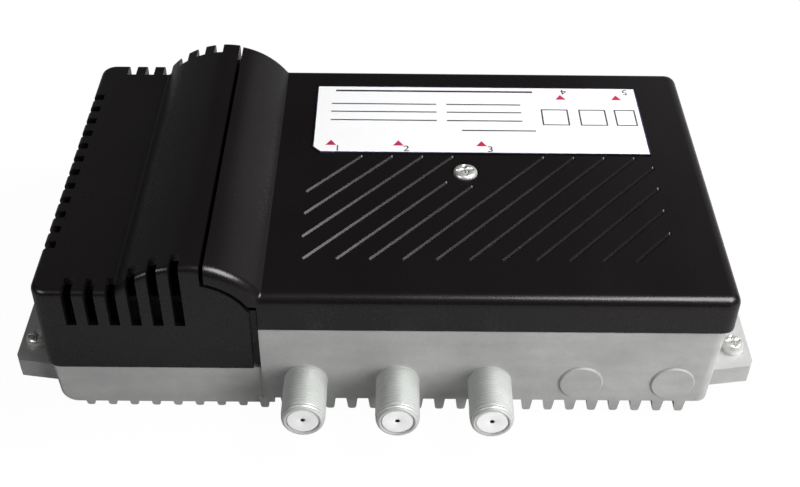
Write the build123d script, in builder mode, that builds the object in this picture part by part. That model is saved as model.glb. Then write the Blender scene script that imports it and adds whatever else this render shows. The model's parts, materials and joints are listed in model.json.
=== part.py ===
from build123d import *
import os
from math import cos, radians, sin, sqrt, tan

os.makedirs("parts", exist_ok=True)

# Indoor aerial amplifier: a finned die-cast tub with threaded coaxial ports,
# an amplifier side under a flat lid and a mains side under a vented hump cover.
# Millimetres. X runs along the casing, Y from the input side to the rear, Z up
# from the tips of the cooling fins. The origin is the centre of the underside.
# The step is the wall between the two sides: places along X are measured from it.

# Casting
main_length = 98.2
power_length = 44.8
casting_depth = 87.2
end_draft_angle = 3.0
casting_wall = 2.2
casting_floor = 2.0
main_rim_z = 24.0
power_rim_z = 12.2
power_set_in = 0.5
power_floor_drop = 2.5
casting_corner_radius = 2.6
power_end_radius = 3.6
power_side_radius = 0.8

# Cooling fins
fin_count = 28
fin_pitch = 4.84
fin_height = 3.2
fin_root_width = 2.5
fin_tip_width = 1.7
fin_tip_radius = 0.6

# Fixing lugs at the four corners
lug_reach = 10.7
lug_length = 22.0
lug_thickness = 4.8
lug_inset = 4.6
lug_slant = 1.6
lug_corner_cut = 1.7
lug_hole_from_tip = 3.8
lug_hole_from_front = 11.9
lug_hole_radius = 2.1

# Coaxial ports, with the blanked places opposite them
first_port_from_step = 9.5
last_port_from_end = 8.7
port_z = 8.93
port_radius = 4.7625
port_length = 12.1
port_bore_radius = 3.6
port_tip_radius = 0.9
port_spigot_radius = 4.25
front_port_count = 3
place_count = 5
blank_radius = 4.8
blank_height = 0.5
blank_bevel = 0.3
insulator_set_back = 0.3
contact_radius = 1.0
contact_bore_radius = 0.5
contact_depth = 7.0
tail_radius = 0.4
tail_length = 4.0
solder_gap = 0.1

# Clearances
press_clearance = 0.03
running_clearance = 0.08
seat_gap = 0.4
cover_gap = 0.3
lap_gap = 0.9

# Circuit boards and what carries them
board_thickness = 1.6
board_post_radius = 2.6
board_screw_inset = 4.0
main_screw_y = 5.0
power_screw_from_side = 18.5
pillar_side = 5.0
shield_z = 21.4
shield_thickness = 0.6
centre_post_radius = 3.6
centre_post_rise = 0.6
cut_overrun = 1.0

# Lid over the amplifier side
cover_overhang = 1.6
cover_set_in = 0.2
cover_top_z = 33.0
cover_wall = 1.9
cover_roof = 2.0
cover_corner_radius = 3.0
cover_edge_radius = 2.3
valley_radius = 0.4
cover_screw_from_step = 44.9
cover_boss_radius = 3.5
cover_screw_recess = 0.6
lap_depth = 3.6

# Hump shared by the two covers
hump_foot_past_step = 0.9
hump_crest_z = 40.95
hump_left_radius = 19.5
hump_right_radius = 18.5
slit_from_crest = 3.6
slit_width = 0.9

# Diagonal grooves in the lid
groove_count_before = 3
groove_count = 14
groove_pitch = 7.14
groove_angle = 48.0
groove_width = 1.0
groove_depth = 0.35
groove_wall_angle = 50.0
groove_first_from_step = 8.9
groove_left_from_step = 8.3
groove_right_from_end = 11.6
groove_from_front = 12.4
groove_from_label = 0.9
groove_screw_clearance = 5.4

# Label on the lid
label_left_from_step = 8.8
label_right_from_end = 11.6
label_front_y = 7.1
label_from_rear = 8.2
label_thickness = 0.25
label_corner_cut = 2.0

# Cover over the mains side
power_top_z = 34.0
power_cover_set_in = 0.3
power_corner_radius = 3.6
power_edge_radius = 1.4
hump_foot_radius = 1.0
strip_width = 1.4
strip_set_in = 1.0
strip_lift = 0.8
vent_count = 6
vent_pitch = 4.55
vent_first_from_step = 39.0
vent_width = 2.2
vent_sill_z = 24.8
vent_reach = 4.6
side_vent_count = 12
side_vent_pitch = 5.12
side_vent_reach = 2.8
sleeve_from_step = 35.8
sleeve_from_side = 9.5
sleeve_radius = 4.2
sleeve_top_z = 11.2
tube_radius = 3.2
tube_bore_depth = 12.0

# Screws
cover_screw_radius = 1.5
cover_screw_length = 17.5
cover_head_radius = 2.85
cover_head_height = 1.9
lug_screw_radius = 1.9
lug_screw_length = 7.4
lug_head_radius = 2.5
lug_head_height = 2.3
small_screw_radius = 1.1
small_screw_length = 3.0
small_head_radius = 2.1
small_head_height = 1.3
power_screw_radius = 1.4
power_screw_length = 14.0
power_head_radius = 2.7
power_head_height = 1.9
drive_radius_share = 0.55
drive_width_share = 0.2
drive_depth_share = 0.6
head_round_share = 0.3

# Gain controls
pot_from_front = 22.6
pot_radius = 5.1
pot_height = 6.2
pot_shoulder_radius = 3.6
pot_shoulder_height = 0.8
rotor_shaft_radius = 2.0
rotor_shaft_depth = 4.0
rotor_disc_radius = 2.9
rotor_disc_height = 1.2
rotor_slot_width = 0.8
rotor_slot_depth = 0.7
access_radius = 3.4

# Supply switches for the inputs
switch_from_front = 12.0
switch_length = 9.0
switch_depth = 4.4
switch_height = 3.6
switch_shell = 0.5
switch_travel = 2.0
slider_length = 1.9
slider_depth = 1.5
slider_rise = 3.2
slider_foot_height = 1.2
slider_foot_length = 3.6

# Parts of the amplifier circuit
fence_thickness = 0.6
fence_height = 9.0
fence_from_front = 5.1
fence_length = 27.5
module_from_end = 21.5
module_from_front = 23.6
module_length = 26.0
module_depth = 17.0
module_height = 7.0
module_flange = 2.0
module_flange_height = 1.2
coil_radius = 2.1
coil_bore_radius = 1.5
coil_height = 5.0
coil_count = 3
coil_pitch = 5.4
coil_from_step = 56.7
coil_from_rear = 17.6
can_radius = 3.15
can_height = 11.0
can_count = 4
can_pitch = 9.0
can_first_from_step = 14.7
can_from_rear = 21.6
coupler_length = 9.0
coupler_depth = 6.0
coupler_height = 5.0
coupler_bore_radius = 1.3
coupler_from_rear = 13.6

# Link between the two boards
link_from_rear = 14.2
link_length = 7.0
link_height = 2.6
link_reach = 2.2
link_pin_count = 3
link_pin_pitch = 2.54
link_pin_side = 0.6
link_pin_overlap = 1.2

# Mains inlet
inlet_from_step = 19.3
inlet_width = 16.0
inlet_height = 11.6
inlet_depth = 18.0
inlet_mouth_width = 13.6
inlet_mouth_height = 8.0
inlet_mouth_depth = 12.0
inlet_pin_radius = 1.18
inlet_pin_pitch = 8.6
inlet_pin_length = 10.0
inlet_proud = 0.4

# Parts of the mains circuit
transformer_from_step = 13.3
transformer_y = -8.0
core_length = 19.0
core_depth = 25.0
core_height = 18.0
core_limb = 4.2
core_centre_width = 7.0
core_thickness = 7.5
winding_gap = 0.3
winding_flange = 0.9
winding_radius = 7.2
bulk_from_step = 32.8
bulk_y = -8.0
bulk_radius = 8.0
bulk_height = 19.0
can_round = 0.7
output_from_step = 7.9
output_from_front = 14.9
output_radius = 4.8
output_height = 15.0
rectifier_from_step = 20.3
rectifier_from_rear = 26.0
rectifier_width = 6.4
rectifier_length = 8.4
rectifier_height = 3.4
choke_from_step = 33.3
choke_from_rear = 32.5
choke_length = 12.0
choke_depth = 11.0
choke_height = 13.0
choke_window_share = 0.42
fuse_from_step = 5.3
fuse_from_rear = 28.7
fuse_radius = 2.5
fuse_length = 20.0
fuse_clip_length = 5.0
fuse_clip_thickness = 0.5
fuse_lift = 1.4
sink_from_step = 21.3
sink_from_front = 9.5
sink_length = 18.0
sink_height = 16.0
sink_thickness = 1.5
sink_foot = 6.0
regulator_width = 10.0
regulator_height = 12.0
regulator_thickness = 4.4

# Casting worked out from the sizes above
casting_half_length = (main_length + power_length) / 2
half_depth = casting_depth / 2
step_x = casting_half_length - main_length
main_floor_z = fin_height
main_inside_z = main_floor_z + casting_floor
power_floor_z = fin_height - power_floor_drop
power_inside_z = power_floor_z + casting_floor
power_half_depth = half_depth - power_set_in
board_top_z = port_z - tail_radius - solder_gap
board_z = board_top_z - board_thickness
shield_top_z = shield_z + shield_thickness
post_top_z = shield_top_z + centre_post_rise
power_head_seat_z = power_floor_z + power_head_height + cut_overrun


def end_wall_x(z):
    """Half length of the casting at height z, with the draft of its end walls."""
    return casting_half_length + (z - fin_height) * tan(radians(end_draft_angle))


# Covers and their hump
cover_half_depth = half_depth - cover_set_in
power_cover_half_depth = half_depth - power_cover_set_in
cover_right_x = end_wall_x(main_rim_z) + cover_overhang
power_left_x = -end_wall_x(power_rim_z) - cover_overhang
power_right_x = step_x - cover_gap
face_right_x = power_right_x - strip_width
left_centre_z = hump_crest_z - hump_left_radius
right_centre_z = hump_crest_z - hump_right_radius
hump_foot_x = step_x + hump_foot_past_step
hump_x = hump_foot_x - sqrt(hump_right_radius**2 - (cover_top_z - right_centre_z) ** 2)
slit_x = hump_x + slit_from_crest
lap_left_x = slit_x + slit_width / 2
power_lap_x = slit_x - slit_width / 2
lap_under_radius = hump_right_radius - lap_depth
rebate_radius = lap_under_radius - lap_gap
cover_screw_x = step_x + cover_screw_from_step
groove_first_x = step_x + groove_first_from_step
groove_left_x = step_x + groove_left_from_step
groove_right_x = cover_right_x - groove_right_from_end
groove_low_y = groove_from_front - half_depth
groove_high_y = label_front_y - groove_from_label
label_left_x = step_x + label_left_from_step
label_right_x = cover_right_x - label_right_from_end
label_back_y = half_depth - label_from_rear

# Ports, boards, posts, pillars and lugs
port_pitch = (main_length - first_port_from_step - last_port_from_end) / (place_count - 1)
port_xs = [step_x + first_port_from_step + port_pitch * i for i in range(place_count)]
front_port_xs = port_xs[:front_port_count]
rear_port_xs = port_xs[front_port_count:]
main_board_left_x = step_x + casting_wall + seat_gap
main_board_right_x = casting_half_length - casting_wall - seat_gap
power_board_left_x = -casting_half_length + casting_wall + seat_gap
power_board_right_x = step_x - seat_gap
main_board_half_depth = half_depth - casting_wall - seat_gap
power_board_half_depth = power_half_depth - casting_wall - seat_gap
pillar_right_x = casting_half_length - casting_wall - pillar_side
pillar_left_x = step_x + casting_wall + pillar_side
pillar_y = half_depth - casting_wall - pillar_side
lug_hole_x = casting_half_length + lug_reach - lug_hole_from_tip
lug_hole_y = half_depth - lug_hole_from_front
lug_top_z = fin_height + lug_thickness
sleeve_x = step_x - sleeve_from_step
sleeve_y = power_half_depth - sleeve_from_side
sleeve_places = [(sleeve_x, -sleeve_y), (sleeve_x, sleeve_y)]
pillar_hole_places = [
    (x, side * (pillar_y + pillar_side / 2))
    for x in (pillar_left_x - pillar_side / 2, pillar_right_x + pillar_side / 2)
    for side in (-1, 1)
]
main_post_places = [
    (x, y)
    for x in (main_board_left_x + board_screw_inset, main_board_right_x - board_screw_inset)
    for y in (-main_screw_y, main_screw_y)
]
power_post_places = [
    (x, y * side)
    for x, y in (
        (power_board_left_x + board_screw_inset, power_half_depth - power_screw_from_side),
        (power_board_right_x - board_screw_inset, power_board_half_depth - board_screw_inset),
    )
    for side in (-1, 1)
]

# Places of the parts on the boards
pot_y = pot_from_front - half_depth
switch_y = switch_from_front - half_depth
fence_front_y = fence_from_front - half_depth
fence_back_y = fence_front_y + fence_length
module_x = casting_half_length - module_from_end
module_y = module_from_front - half_depth
coil_row_x = step_x + coil_from_step
coil_y = half_depth - coil_from_rear
can_first_x = step_x + can_first_from_step
can_y = half_depth - can_from_rear
coupler_x = sum(rear_port_xs) / len(rear_port_xs)
coupler_y = half_depth - coupler_from_rear
link_y = half_depth - link_from_rear
inlet_x = step_x - inlet_from_step
transformer_x = step_x - transformer_from_step
bulk_x = step_x - bulk_from_step
output_x = step_x - output_from_step
output_y = output_from_front - power_half_depth
rectifier_x = step_x - rectifier_from_step
rectifier_y = power_half_depth - rectifier_from_rear
choke_x = step_x - choke_from_step
choke_y = power_half_depth - choke_from_rear
fuse_x = step_x - fuse_from_step
fuse_y = power_half_depth - fuse_from_rear
sink_x = step_x - sink_from_step
sink_y = sink_from_front - power_half_depth


def arc_z(x, radius, centre_z):
    """Height at x of an arc of the hump round its crest line."""
    return centre_z + sqrt(radius**2 - (x - hump_x) ** 2)


def arc_x(z, radius, centre_z):
    """Distance from the crest line at which an arc of the hump reaches height z."""
    return sqrt(radius**2 - (z - centre_z) ** 2)


def crest_distance(place):
    """Distance of a place from the centre line of the hump's right arc."""
    return sqrt((place.X - hump_x) ** 2 + (place.Z - right_centre_z) ** 2)


def hump_arc(x_start, x_end, radius, centre_z):
    """Stretch of the hump between two places along X."""
    x_middle = (x_start + x_end) / 2
    places = [(x, arc_z(x, radius, centre_z)) for x in (x_start, x_middle, x_end)]
    return ThreePointArc(*places)


def slab(x_span, y_span, z_span, mode=Mode.ADD):
    """Box between three pairs of faces."""
    spans = (x_span, y_span, z_span)
    with Locations(tuple((low + high) / 2 for low, high in spans)):
        Box(*[high - low for low, high in spans], mode=mode)


def save(piece, label):
    """Label a finished piece and write its file."""
    piece.part.label = label
    export_step(piece.part, f"parts/{label}.step")


def fin_width(z):
    """Width of a tapered fin at height z."""
    return fin_tip_width + (fin_root_width - fin_tip_width) * z / fin_height


def make_fins():
    """Rows of cooling fins under the two sides of the casting."""
    fin_xs = [fin_pitch * (i - (fin_count - 1) / 2) for i in range(fin_count)]
    rows = (
        ([x for x in fin_xs if x > step_x], main_floor_z, half_depth),
        ([x for x in fin_xs if x < step_x], power_floor_z + power_side_radius, power_half_depth),
    )
    with BuildPart() as fins:
        for row_xs, top_z, reach in rows:
            with BuildSketch(Plane.XZ) as row:
                with Locations([(x, 0) for x in row_xs]):
                    Polygon(
                        (-fin_width(top_z) / 2, top_z),
                        (-fin_tip_width / 2, 0),
                        (fin_tip_width / 2, 0),
                        (fin_width(top_z) / 2, top_z),
                        align=None,
                    )
                fillet(row.vertices().group_by(Axis.Y)[0], fin_tip_radius)
            extrude(amount=reach, both=True)
    return fins.part


def make_housing():
    """Die-cast tub with fins, lugs and the posts inside."""
    power_left = -end_wall_x(power_rim_z)
    with BuildPart() as housing:
        # Mains side, low and rounded underneath
        with BuildSketch(Plane.XZ) as low_side:
            with BuildLine():
                Polyline(
                    (step_x + casting_wall, power_floor_z),
                    (-end_wall_x(power_floor_z), power_floor_z),
                    (power_left, power_rim_z),
                    (step_x + casting_wall, power_rim_z),
                    close=True,
                )
            make_face()
            fillet(low_side.vertices().sort_by(Axis.Y)[:2].sort_by(Axis.X)[0], power_end_radius)
        extrude(amount=power_half_depth, both=True)
        fillet(housing.edges().filter_by(Axis.X).group_by(Axis.Z)[0], power_side_radius)

        # Amplifier side
        with BuildSketch(Plane.XZ):
            with BuildLine():
                Polyline(
                    (step_x, main_floor_z),
                    (end_wall_x(main_floor_z), main_floor_z),
                    (end_wall_x(main_rim_z), main_rim_z),
                    (step_x, main_rim_z),
                    close=True,
                )
            make_face()
        extrude(amount=half_depth, both=True)
        corners = housing.edges().filter_by(
            lambda edge: abs(edge.tangent_at(0.5).Z) > cos(radians(2 * end_draft_angle))
            and abs(edge.center().X) > casting_half_length - casting_wall
        )
        fillet(corners, casting_corner_radius)

        # Lugs
        root_y = -half_depth + lug_inset
        tip_x = casting_half_length + lug_reach
        with BuildSketch(Plane.XY.offset(main_floor_z)):
            with BuildLine():
                Polyline(
                    (casting_half_length - casting_wall / 2, root_y),
                    (tip_x - lug_corner_cut / 2, root_y + lug_slant),
                    (tip_x, root_y + lug_slant + lug_corner_cut),
                    (tip_x, root_y + lug_length - lug_corner_cut),
                    (tip_x - lug_corner_cut, root_y + lug_length),
                    (casting_half_length - casting_wall / 2, root_y + lug_length),
                    close=True,
                )
            make_face()
            mirror(about=Plane.YZ)
            mirror(about=Plane.XZ)
        extrude(amount=lug_thickness)

        # Blanked places opposite the ports
        for side, blank_xs in ((1, rear_port_xs), (-1, front_port_xs)):
            with BuildSketch(Plane.XZ.offset(side * half_depth)):
                with Locations([(x, port_z) for x in blank_xs]):
                    Circle(blank_radius)
            extrude(amount=side * blank_height)
        outer_rings = housing.edges().filter_by(
            lambda edge: edge.geom_type == GeomType.CIRCLE
            and abs(edge.center().Y) > half_depth + blank_bevel / 2
        )
        chamfer(outer_rings, blank_bevel)

        # Hollows of the two sides
        with BuildSketch(Plane.XZ):
            with BuildLine():
                Polyline(
                    (step_x + casting_wall, main_inside_z),
                    (end_wall_x(main_inside_z) - casting_wall, main_inside_z),
                    (end_wall_x(main_rim_z + cut_overrun) - casting_wall, main_rim_z + cut_overrun),
                    (step_x + casting_wall, main_rim_z + cut_overrun),
                    close=True,
                )
            make_face()
        extrude(amount=half_depth - casting_wall, both=True, mode=Mode.SUBTRACT)
        with BuildSketch(Plane.XZ) as low_hollow:
            with BuildLine():
                Polyline(
                    (step_x, power_inside_z),
                    (-end_wall_x(power_inside_z) + casting_wall, power_inside_z),
                    (-end_wall_x(power_rim_z + cut_overrun) + casting_wall, power_rim_z + cut_overrun),
                    (step_x, power_rim_z + cut_overrun),
                    close=True,
                )
            make_face()
            corner = low_hollow.vertices().sort_by(Axis.Y)[:2].sort_by(Axis.X)[0]
            fillet(corner, power_end_radius - casting_wall)
        extrude(amount=power_half_depth - casting_wall, both=True, mode=Mode.SUBTRACT)

        # Pillars for the shield, posts for the boards, sleeves for the mains cover
        for side in (-1, 1):
            pillar_span = sorted((side * pillar_y, side * (half_depth - casting_wall / 2)))
            heights = (main_inside_z, shield_z)
            slab((pillar_right_x, casting_half_length - casting_wall / 2), pillar_span, heights)
            slab((step_x + casting_wall / 2, pillar_left_x), pillar_span, heights)
        with BuildSketch(Plane.XY.offset(main_inside_z)):
            with Locations(main_post_places):
                Circle(board_post_radius)
        extrude(amount=board_z - main_inside_z)
        with BuildSketch(Plane.XY.offset(main_inside_z)):
            with Locations((cover_screw_x, 0)):
                Circle(centre_post_radius)
        extrude(amount=post_top_z - main_inside_z)
        with BuildSketch(Plane.XY.offset(power_inside_z)):
            with Locations(power_post_places):
                Circle(board_post_radius)
        extrude(amount=board_z - power_inside_z)
        with BuildSketch(Plane.XY.offset(power_inside_z)):
            with Locations(*sleeve_places):
                Circle(sleeve_radius)
        extrude(amount=sleeve_top_z - power_inside_z)

        # Holes for the port barrels
        for side, hole_xs in ((1, front_port_xs), (-1, rear_port_xs)):
            with BuildSketch(Plane.XZ.offset(side * half_depth)):
                with Locations([(x, port_z) for x in hole_xs]):
                    Circle(port_spigot_radius + press_clearance)
            extrude(amount=-side * casting_wall, mode=Mode.SUBTRACT)

        # Screw holes
        with Locations(Plane.XY.offset(lug_top_z)):
            with GridLocations(2 * lug_hole_x, 2 * lug_hole_y, 2, 2):
                Hole(lug_hole_radius, depth=lug_thickness)
        small_hole_radius = small_screw_radius + running_clearance
        with Locations(*[(x, y, board_z) for x, y in main_post_places + power_post_places]):
            Hole(small_hole_radius, depth=small_screw_length - board_thickness + running_clearance)
        with Locations(*[(x, y, shield_z) for x, y in pillar_hole_places]):
            Hole(small_hole_radius, depth=small_screw_length)
        with Locations((cover_screw_x, 0, post_top_z)):
            Hole(cover_screw_radius + running_clearance, depth=post_top_z - main_inside_z - casting_floor)
        with Locations(*[(x, y, sleeve_top_z) for x, y in sleeve_places]):
            Hole(power_screw_radius + seat_gap, depth=sleeve_top_z)
        add(make_fins())
        head_hole = power_head_radius + cover_gap
        with BuildSketch(Plane.XY):
            with Locations(*sleeve_places):
                Circle(head_hole)
        extrude(amount=power_head_seat_z, mode=Mode.SUBTRACT)

        # Seat of the mains inlet and window of the link
        slab(
            (inlet_x - inlet_width / 2 - running_clearance, inlet_x + inlet_width / 2 + running_clearance),
            (power_half_depth - casting_wall - cut_overrun, power_half_depth + cut_overrun),
            (board_top_z, power_rim_z + cut_overrun),
            mode=Mode.SUBTRACT,
        )
        slab(
            (step_x - cut_overrun, step_x + casting_wall + cut_overrun),
            (link_y - link_length / 2 - seat_gap, link_y + link_length / 2 + seat_gap),
            (board_z - seat_gap, board_top_z + link_height + seat_gap),
            mode=Mode.SUBTRACT,
        )
    save(housing, "housing")


def lid_outline(foot_z):
    """Section of the lid with its lap over the hump."""
    with BuildSketch(Plane.XZ) as section:
        with BuildLine():
            Polyline(
                (hump_foot_x, cover_top_z),
                (cover_right_x, cover_top_z),
                (cover_right_x, foot_z),
                (step_x, foot_z),
                (step_x, arc_z(face_right_x, lap_under_radius, right_centre_z)),
                (face_right_x, arc_z(face_right_x, lap_under_radius, right_centre_z)),
            )
            hump_arc(face_right_x, lap_left_x, lap_under_radius, right_centre_z)
            Line(
                (lap_left_x, arc_z(lap_left_x, lap_under_radius, right_centre_z)),
                (lap_left_x, arc_z(lap_left_x, hump_right_radius, right_centre_z)),
            )
            hump_arc(lap_left_x, hump_foot_x, hump_right_radius, right_centre_z)
        make_face()
        valley = [v for v in section.vertices() if abs(v.X - hump_foot_x) < seat_gap]
        fillet([v for v in valley if v.Y > cover_top_z - seat_gap], valley_radius)
    return section.sketch


def groove_ends():
    """Both ends of each diagonal groove, kept inside its field and off the screw."""
    run = cos(radians(groove_angle))
    rise = sin(radians(groove_angle))
    ends = []
    for i in range(-groove_count_before, groove_count - groove_count_before):
        x = groove_first_x + groove_pitch * i
        first = max(0, (groove_left_x - x) / run)
        last = min((groove_high_y - groove_low_y) / rise, (groove_right_x - x) / run)
        along = (cover_screw_x - x) * run - groove_low_y * rise
        aside = (cover_screw_x - x) * rise + groove_low_y * run
        if abs(aside) < groove_screw_clearance:
            last = along - sqrt(groove_screw_clearance**2 - aside**2)
        ends.append([(x + run * t, groove_low_y + rise * t) for t in (first, last)])
    return ends


def make_main_cover():
    """Lid over the amplifier side, with its lap over the mains cover."""
    with BuildPart() as cover:
        extrude(to_extrude=lid_outline(main_rim_z), amount=cover_half_depth, both=True)
        uprights = cover.edges().filter_by(Axis.Z).group_by(Axis.X)[-1]
        fillet(uprights, cover_corner_radius)
        rim = cover.edges().filter_by(
            lambda edge: edge.center().Z > cover_top_z - seat_gap
            and crest_distance(edge.center()) > hump_right_radius - lap_depth / 2
            and (
                abs(edge.center().Y) > cover_half_depth - cover_corner_radius
                or edge.center().X > cover_right_x - cover_corner_radius
            )
        )
        fillet(rim, cover_edge_radius)

        # Hollow of the lid
        slab(
            (step_x + cover_wall, cover_right_x - cover_wall),
            (-cover_half_depth + cover_wall, cover_half_depth - cover_wall),
            (main_rim_z - cut_overrun, cover_top_z - cover_roof),
            mode=Mode.SUBTRACT,
        )
        pocket_left_x = lap_left_x + cover_wall
        with BuildSketch(Plane.XZ):
            with BuildLine():
                hump_arc(pocket_left_x, face_right_x, hump_right_radius - cover_roof, right_centre_z)
                Polyline(
                    (face_right_x, arc_z(face_right_x, hump_right_radius - cover_roof, right_centre_z)),
                    (face_right_x, arc_z(face_right_x, lap_under_radius, right_centre_z) - cut_overrun),
                    (pocket_left_x, arc_z(face_right_x, lap_under_radius, right_centre_z) - cut_overrun),
                    (pocket_left_x, arc_z(pocket_left_x, hump_right_radius - cover_roof, right_centre_z)),
                )
            make_face()
        extrude(amount=cover_half_depth - cover_wall, both=True, mode=Mode.SUBTRACT)

        # Screw boss and its hole
        with BuildSketch(Plane.XY.offset(post_top_z)):
            with Locations((cover_screw_x, 0)):
                Circle(cover_boss_radius)
        extrude(amount=cover_top_z - cover_roof - post_top_z)
        with Locations((cover_screw_x, 0, cover_top_z)):
            CounterBoreHole(
                cover_screw_radius + 2 * running_clearance,
                cover_head_radius + cover_gap,
                cover_screw_recess,
                depth=cover_top_z,
            )

        # Diagonal grooves
        with BuildSketch(Plane.XY.offset(cover_top_z)):
            for start, end in groove_ends():
                middle = ((start[0] + end[0]) / 2, (start[1] + end[1]) / 2)
                length = sqrt((end[0] - start[0]) ** 2 + (end[1] - start[1]) ** 2)
                with Locations(middle):
                    SlotOverall(length, groove_width, rotation=groove_angle)
        extrude(amount=-groove_depth, taper=groove_wall_angle, mode=Mode.SUBTRACT)
    save(cover, "main_cover")


def power_outline(inset, foot_z):
    """Section of the mains cover across its hump, drawn in by a wall thickness."""
    left_x = power_left_x + inset
    right_x = power_right_x - inset
    shelf_z = power_top_z - inset
    foot_x = hump_x - arc_x(shelf_z, hump_left_radius - inset, left_centre_z)
    lap_x = power_lap_x - inset
    rebate_z = arc_z(face_right_x, rebate_radius, right_centre_z) - inset
    rebate_x = hump_x + arc_x(rebate_z, rebate_radius - inset, right_centre_z)
    with BuildSketch(Plane.XZ) as section:
        with BuildLine():
            Polyline(
                (rebate_x, rebate_z),
                (right_x, rebate_z),
                (right_x, foot_z),
                (left_x, foot_z),
                (left_x, shelf_z),
                (foot_x, shelf_z),
            )
            hump_arc(foot_x, hump_x, hump_left_radius - inset, left_centre_z)
            hump_arc(hump_x, lap_x, hump_right_radius - inset, right_centre_z)
            Line(
                (lap_x, arc_z(lap_x, hump_right_radius - inset, right_centre_z)),
                (lap_x, arc_z(lap_x, rebate_radius - inset, right_centre_z)),
            )
            hump_arc(lap_x, rebate_x, rebate_radius - inset, right_centre_z)
        make_face()
        fillet(
            [v for v in section.vertices() if abs(v.X - foot_x) < seat_gap and abs(v.Y - shelf_z) < seat_gap],
            hump_foot_radius,
        )
    return section.sketch


def make_power_cover():
    """Vented hump cover over the mains side."""
    half = power_cover_half_depth
    with BuildPart() as cover:
        extrude(to_extrude=power_outline(0, power_rim_z), amount=half, both=True)

        # Strip along the right edge, set back behind the faces
        for side in (-1, 1):
            slab(
                (face_right_x, power_right_x + cut_overrun),
                sorted((side * (half - strip_set_in), side * (half + cut_overrun))),
                (power_rim_z - cut_overrun, hump_crest_z),
                mode=Mode.SUBTRACT,
            )
        slab(
            (face_right_x, power_right_x + cut_overrun),
            (-half, half),
            (power_rim_z - cut_overrun, power_rim_z + strip_lift),
            mode=Mode.SUBTRACT,
        )
        uprights = cover.edges().filter_by(Axis.Z).group_by(Axis.X)[0]
        fillet(uprights, power_corner_radius)
        rim = cover.edges().filter_by(
            lambda edge: edge.center().Z > power_top_z - seat_gap
            and edge.center().X < power_lap_x - seat_gap
            and (
                abs(edge.center().Y) > half - power_corner_radius
                or edge.center().X < power_left_x + power_corner_radius
            )
        )
        fillet(rim, power_edge_radius)
        extrude(
            to_extrude=power_outline(cover_wall, power_rim_z - cut_overrun),
            amount=half - cover_wall,
            both=True,
            mode=Mode.SUBTRACT,
        )

        # Tubes for the screws from below
        with BuildSketch(Plane.XY.offset(sleeve_top_z)):
            with Locations(*sleeve_places):
                Circle(tube_radius)
        extrude(amount=power_top_z - cover_wall / 2 - sleeve_top_z)
        with BuildSketch(Plane.XY.offset(sleeve_top_z)):
            with Locations(*sleeve_places):
                Circle(power_screw_radius + press_clearance)
        extrude(amount=tube_bore_depth, mode=Mode.SUBTRACT)

        # Vents: slits through the walls that run on over the edge of the roof
        add(make_vents(), mode=Mode.SUBTRACT)

        # Window of the mains inlet
        slab(
            (inlet_x - inlet_width / 2 - running_clearance, inlet_x + inlet_width / 2 + running_clearance),
            (half - cover_wall - cut_overrun, half + cut_overrun),
            (power_rim_z - cut_overrun, board_top_z + inlet_height + running_clearance),
            mode=Mode.SUBTRACT,
        )
    save(cover, "power_cover")


def make_vents():
    """Cutters of all vents of the mains cover."""
    half = power_cover_half_depth
    top = hump_crest_z + cut_overrun
    vent_xs = [step_x - vent_first_from_step + vent_pitch * i for i in range(vent_count)]
    vent_ys = [side_vent_pitch * (i - (side_vent_count - 1) / 2) for i in range(side_vent_count)]
    with BuildPart() as scoops:
        extrude(to_extrude=power_outline(0, power_rim_z), amount=half, both=True)
        extrude(
            to_extrude=power_outline(cover_wall + running_clearance, power_rim_z - cut_overrun),
            amount=half,
            both=True,
            mode=Mode.SUBTRACT,
        )
        with BuildSketch(Plane.XY.offset(power_rim_z)) as reach:
            for side in (-1, 1):
                with Locations([(x, side * (half - vent_reach / 2)) for x in vent_xs]):
                    Rectangle(vent_width, vent_reach)
            with Locations([(power_left_x + side_vent_reach / 2, y) for y in vent_ys]):
                Rectangle(side_vent_reach, vent_width)
        extrude(amount=top - power_rim_z, mode=Mode.INTERSECT)
        slab((power_left_x, power_right_x), (-half, half), (power_rim_z, vent_sill_z), mode=Mode.SUBTRACT)
        with BuildSketch(Plane.XY.offset(vent_sill_z)):
            for side in (-1, 1):
                with Locations([(x, side * half) for x in vent_xs]):
                    Rectangle(vent_width, 2 * cover_wall)
            with Locations([(power_left_x, y) for y in vent_ys]):
                Rectangle(2 * cover_wall, vent_width)
        extrude(amount=top - vent_sill_z)
    return scoops.part


def make_label():
    """Printed plate on the lid, with one corner cut off."""
    with BuildPart() as label:
        with BuildSketch(Plane.XY.offset(cover_top_z)):
            with BuildLine():
                Polyline(
                    (label_left_x + label_corner_cut, label_front_y),
                    (label_right_x, label_front_y),
                    (label_right_x, label_back_y),
                    (label_left_x, label_back_y),
                    (label_left_x, label_front_y + label_corner_cut),
                    close=True,
                )
            make_face()
        extrude(amount=label_thickness)
    save(label, "rating_label")


def screw(places, seat_z, shank_radius, length, head_radius, head_height, down=True):
    """Pan-head screws with a cross recess, their heads seated at one height."""
    way = 1 if down else -1
    with BuildPart() as screws:
        for x, y in places:
            with BuildSketch(Plane.XY.offset(seat_z)):
                with Locations((x, y)):
                    Circle(shank_radius)
            extrude(amount=-way * length)
            with BuildSketch(Plane.XY.offset(seat_z)):
                with Locations((x, y)):
                    Circle(head_radius)
            extrude(amount=way * head_height)
        ends = screws.edges().filter_by(GeomType.CIRCLE).group_by(Axis.Z)
        fillet(ends[-1 if down else 0], head_round_share * head_height)
        recess = 2 * drive_radius_share * head_radius
        with BuildSketch(Plane.XY.offset(seat_z + way * head_height)):
            for x, y in places:
                with Locations((x, y)):
                    Rectangle(recess, drive_width_share * head_radius)
                    Rectangle(drive_width_share * head_radius, recess)
        extrude(amount=-way * drive_depth_share * head_height, mode=Mode.SUBTRACT)
    return screws


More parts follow.
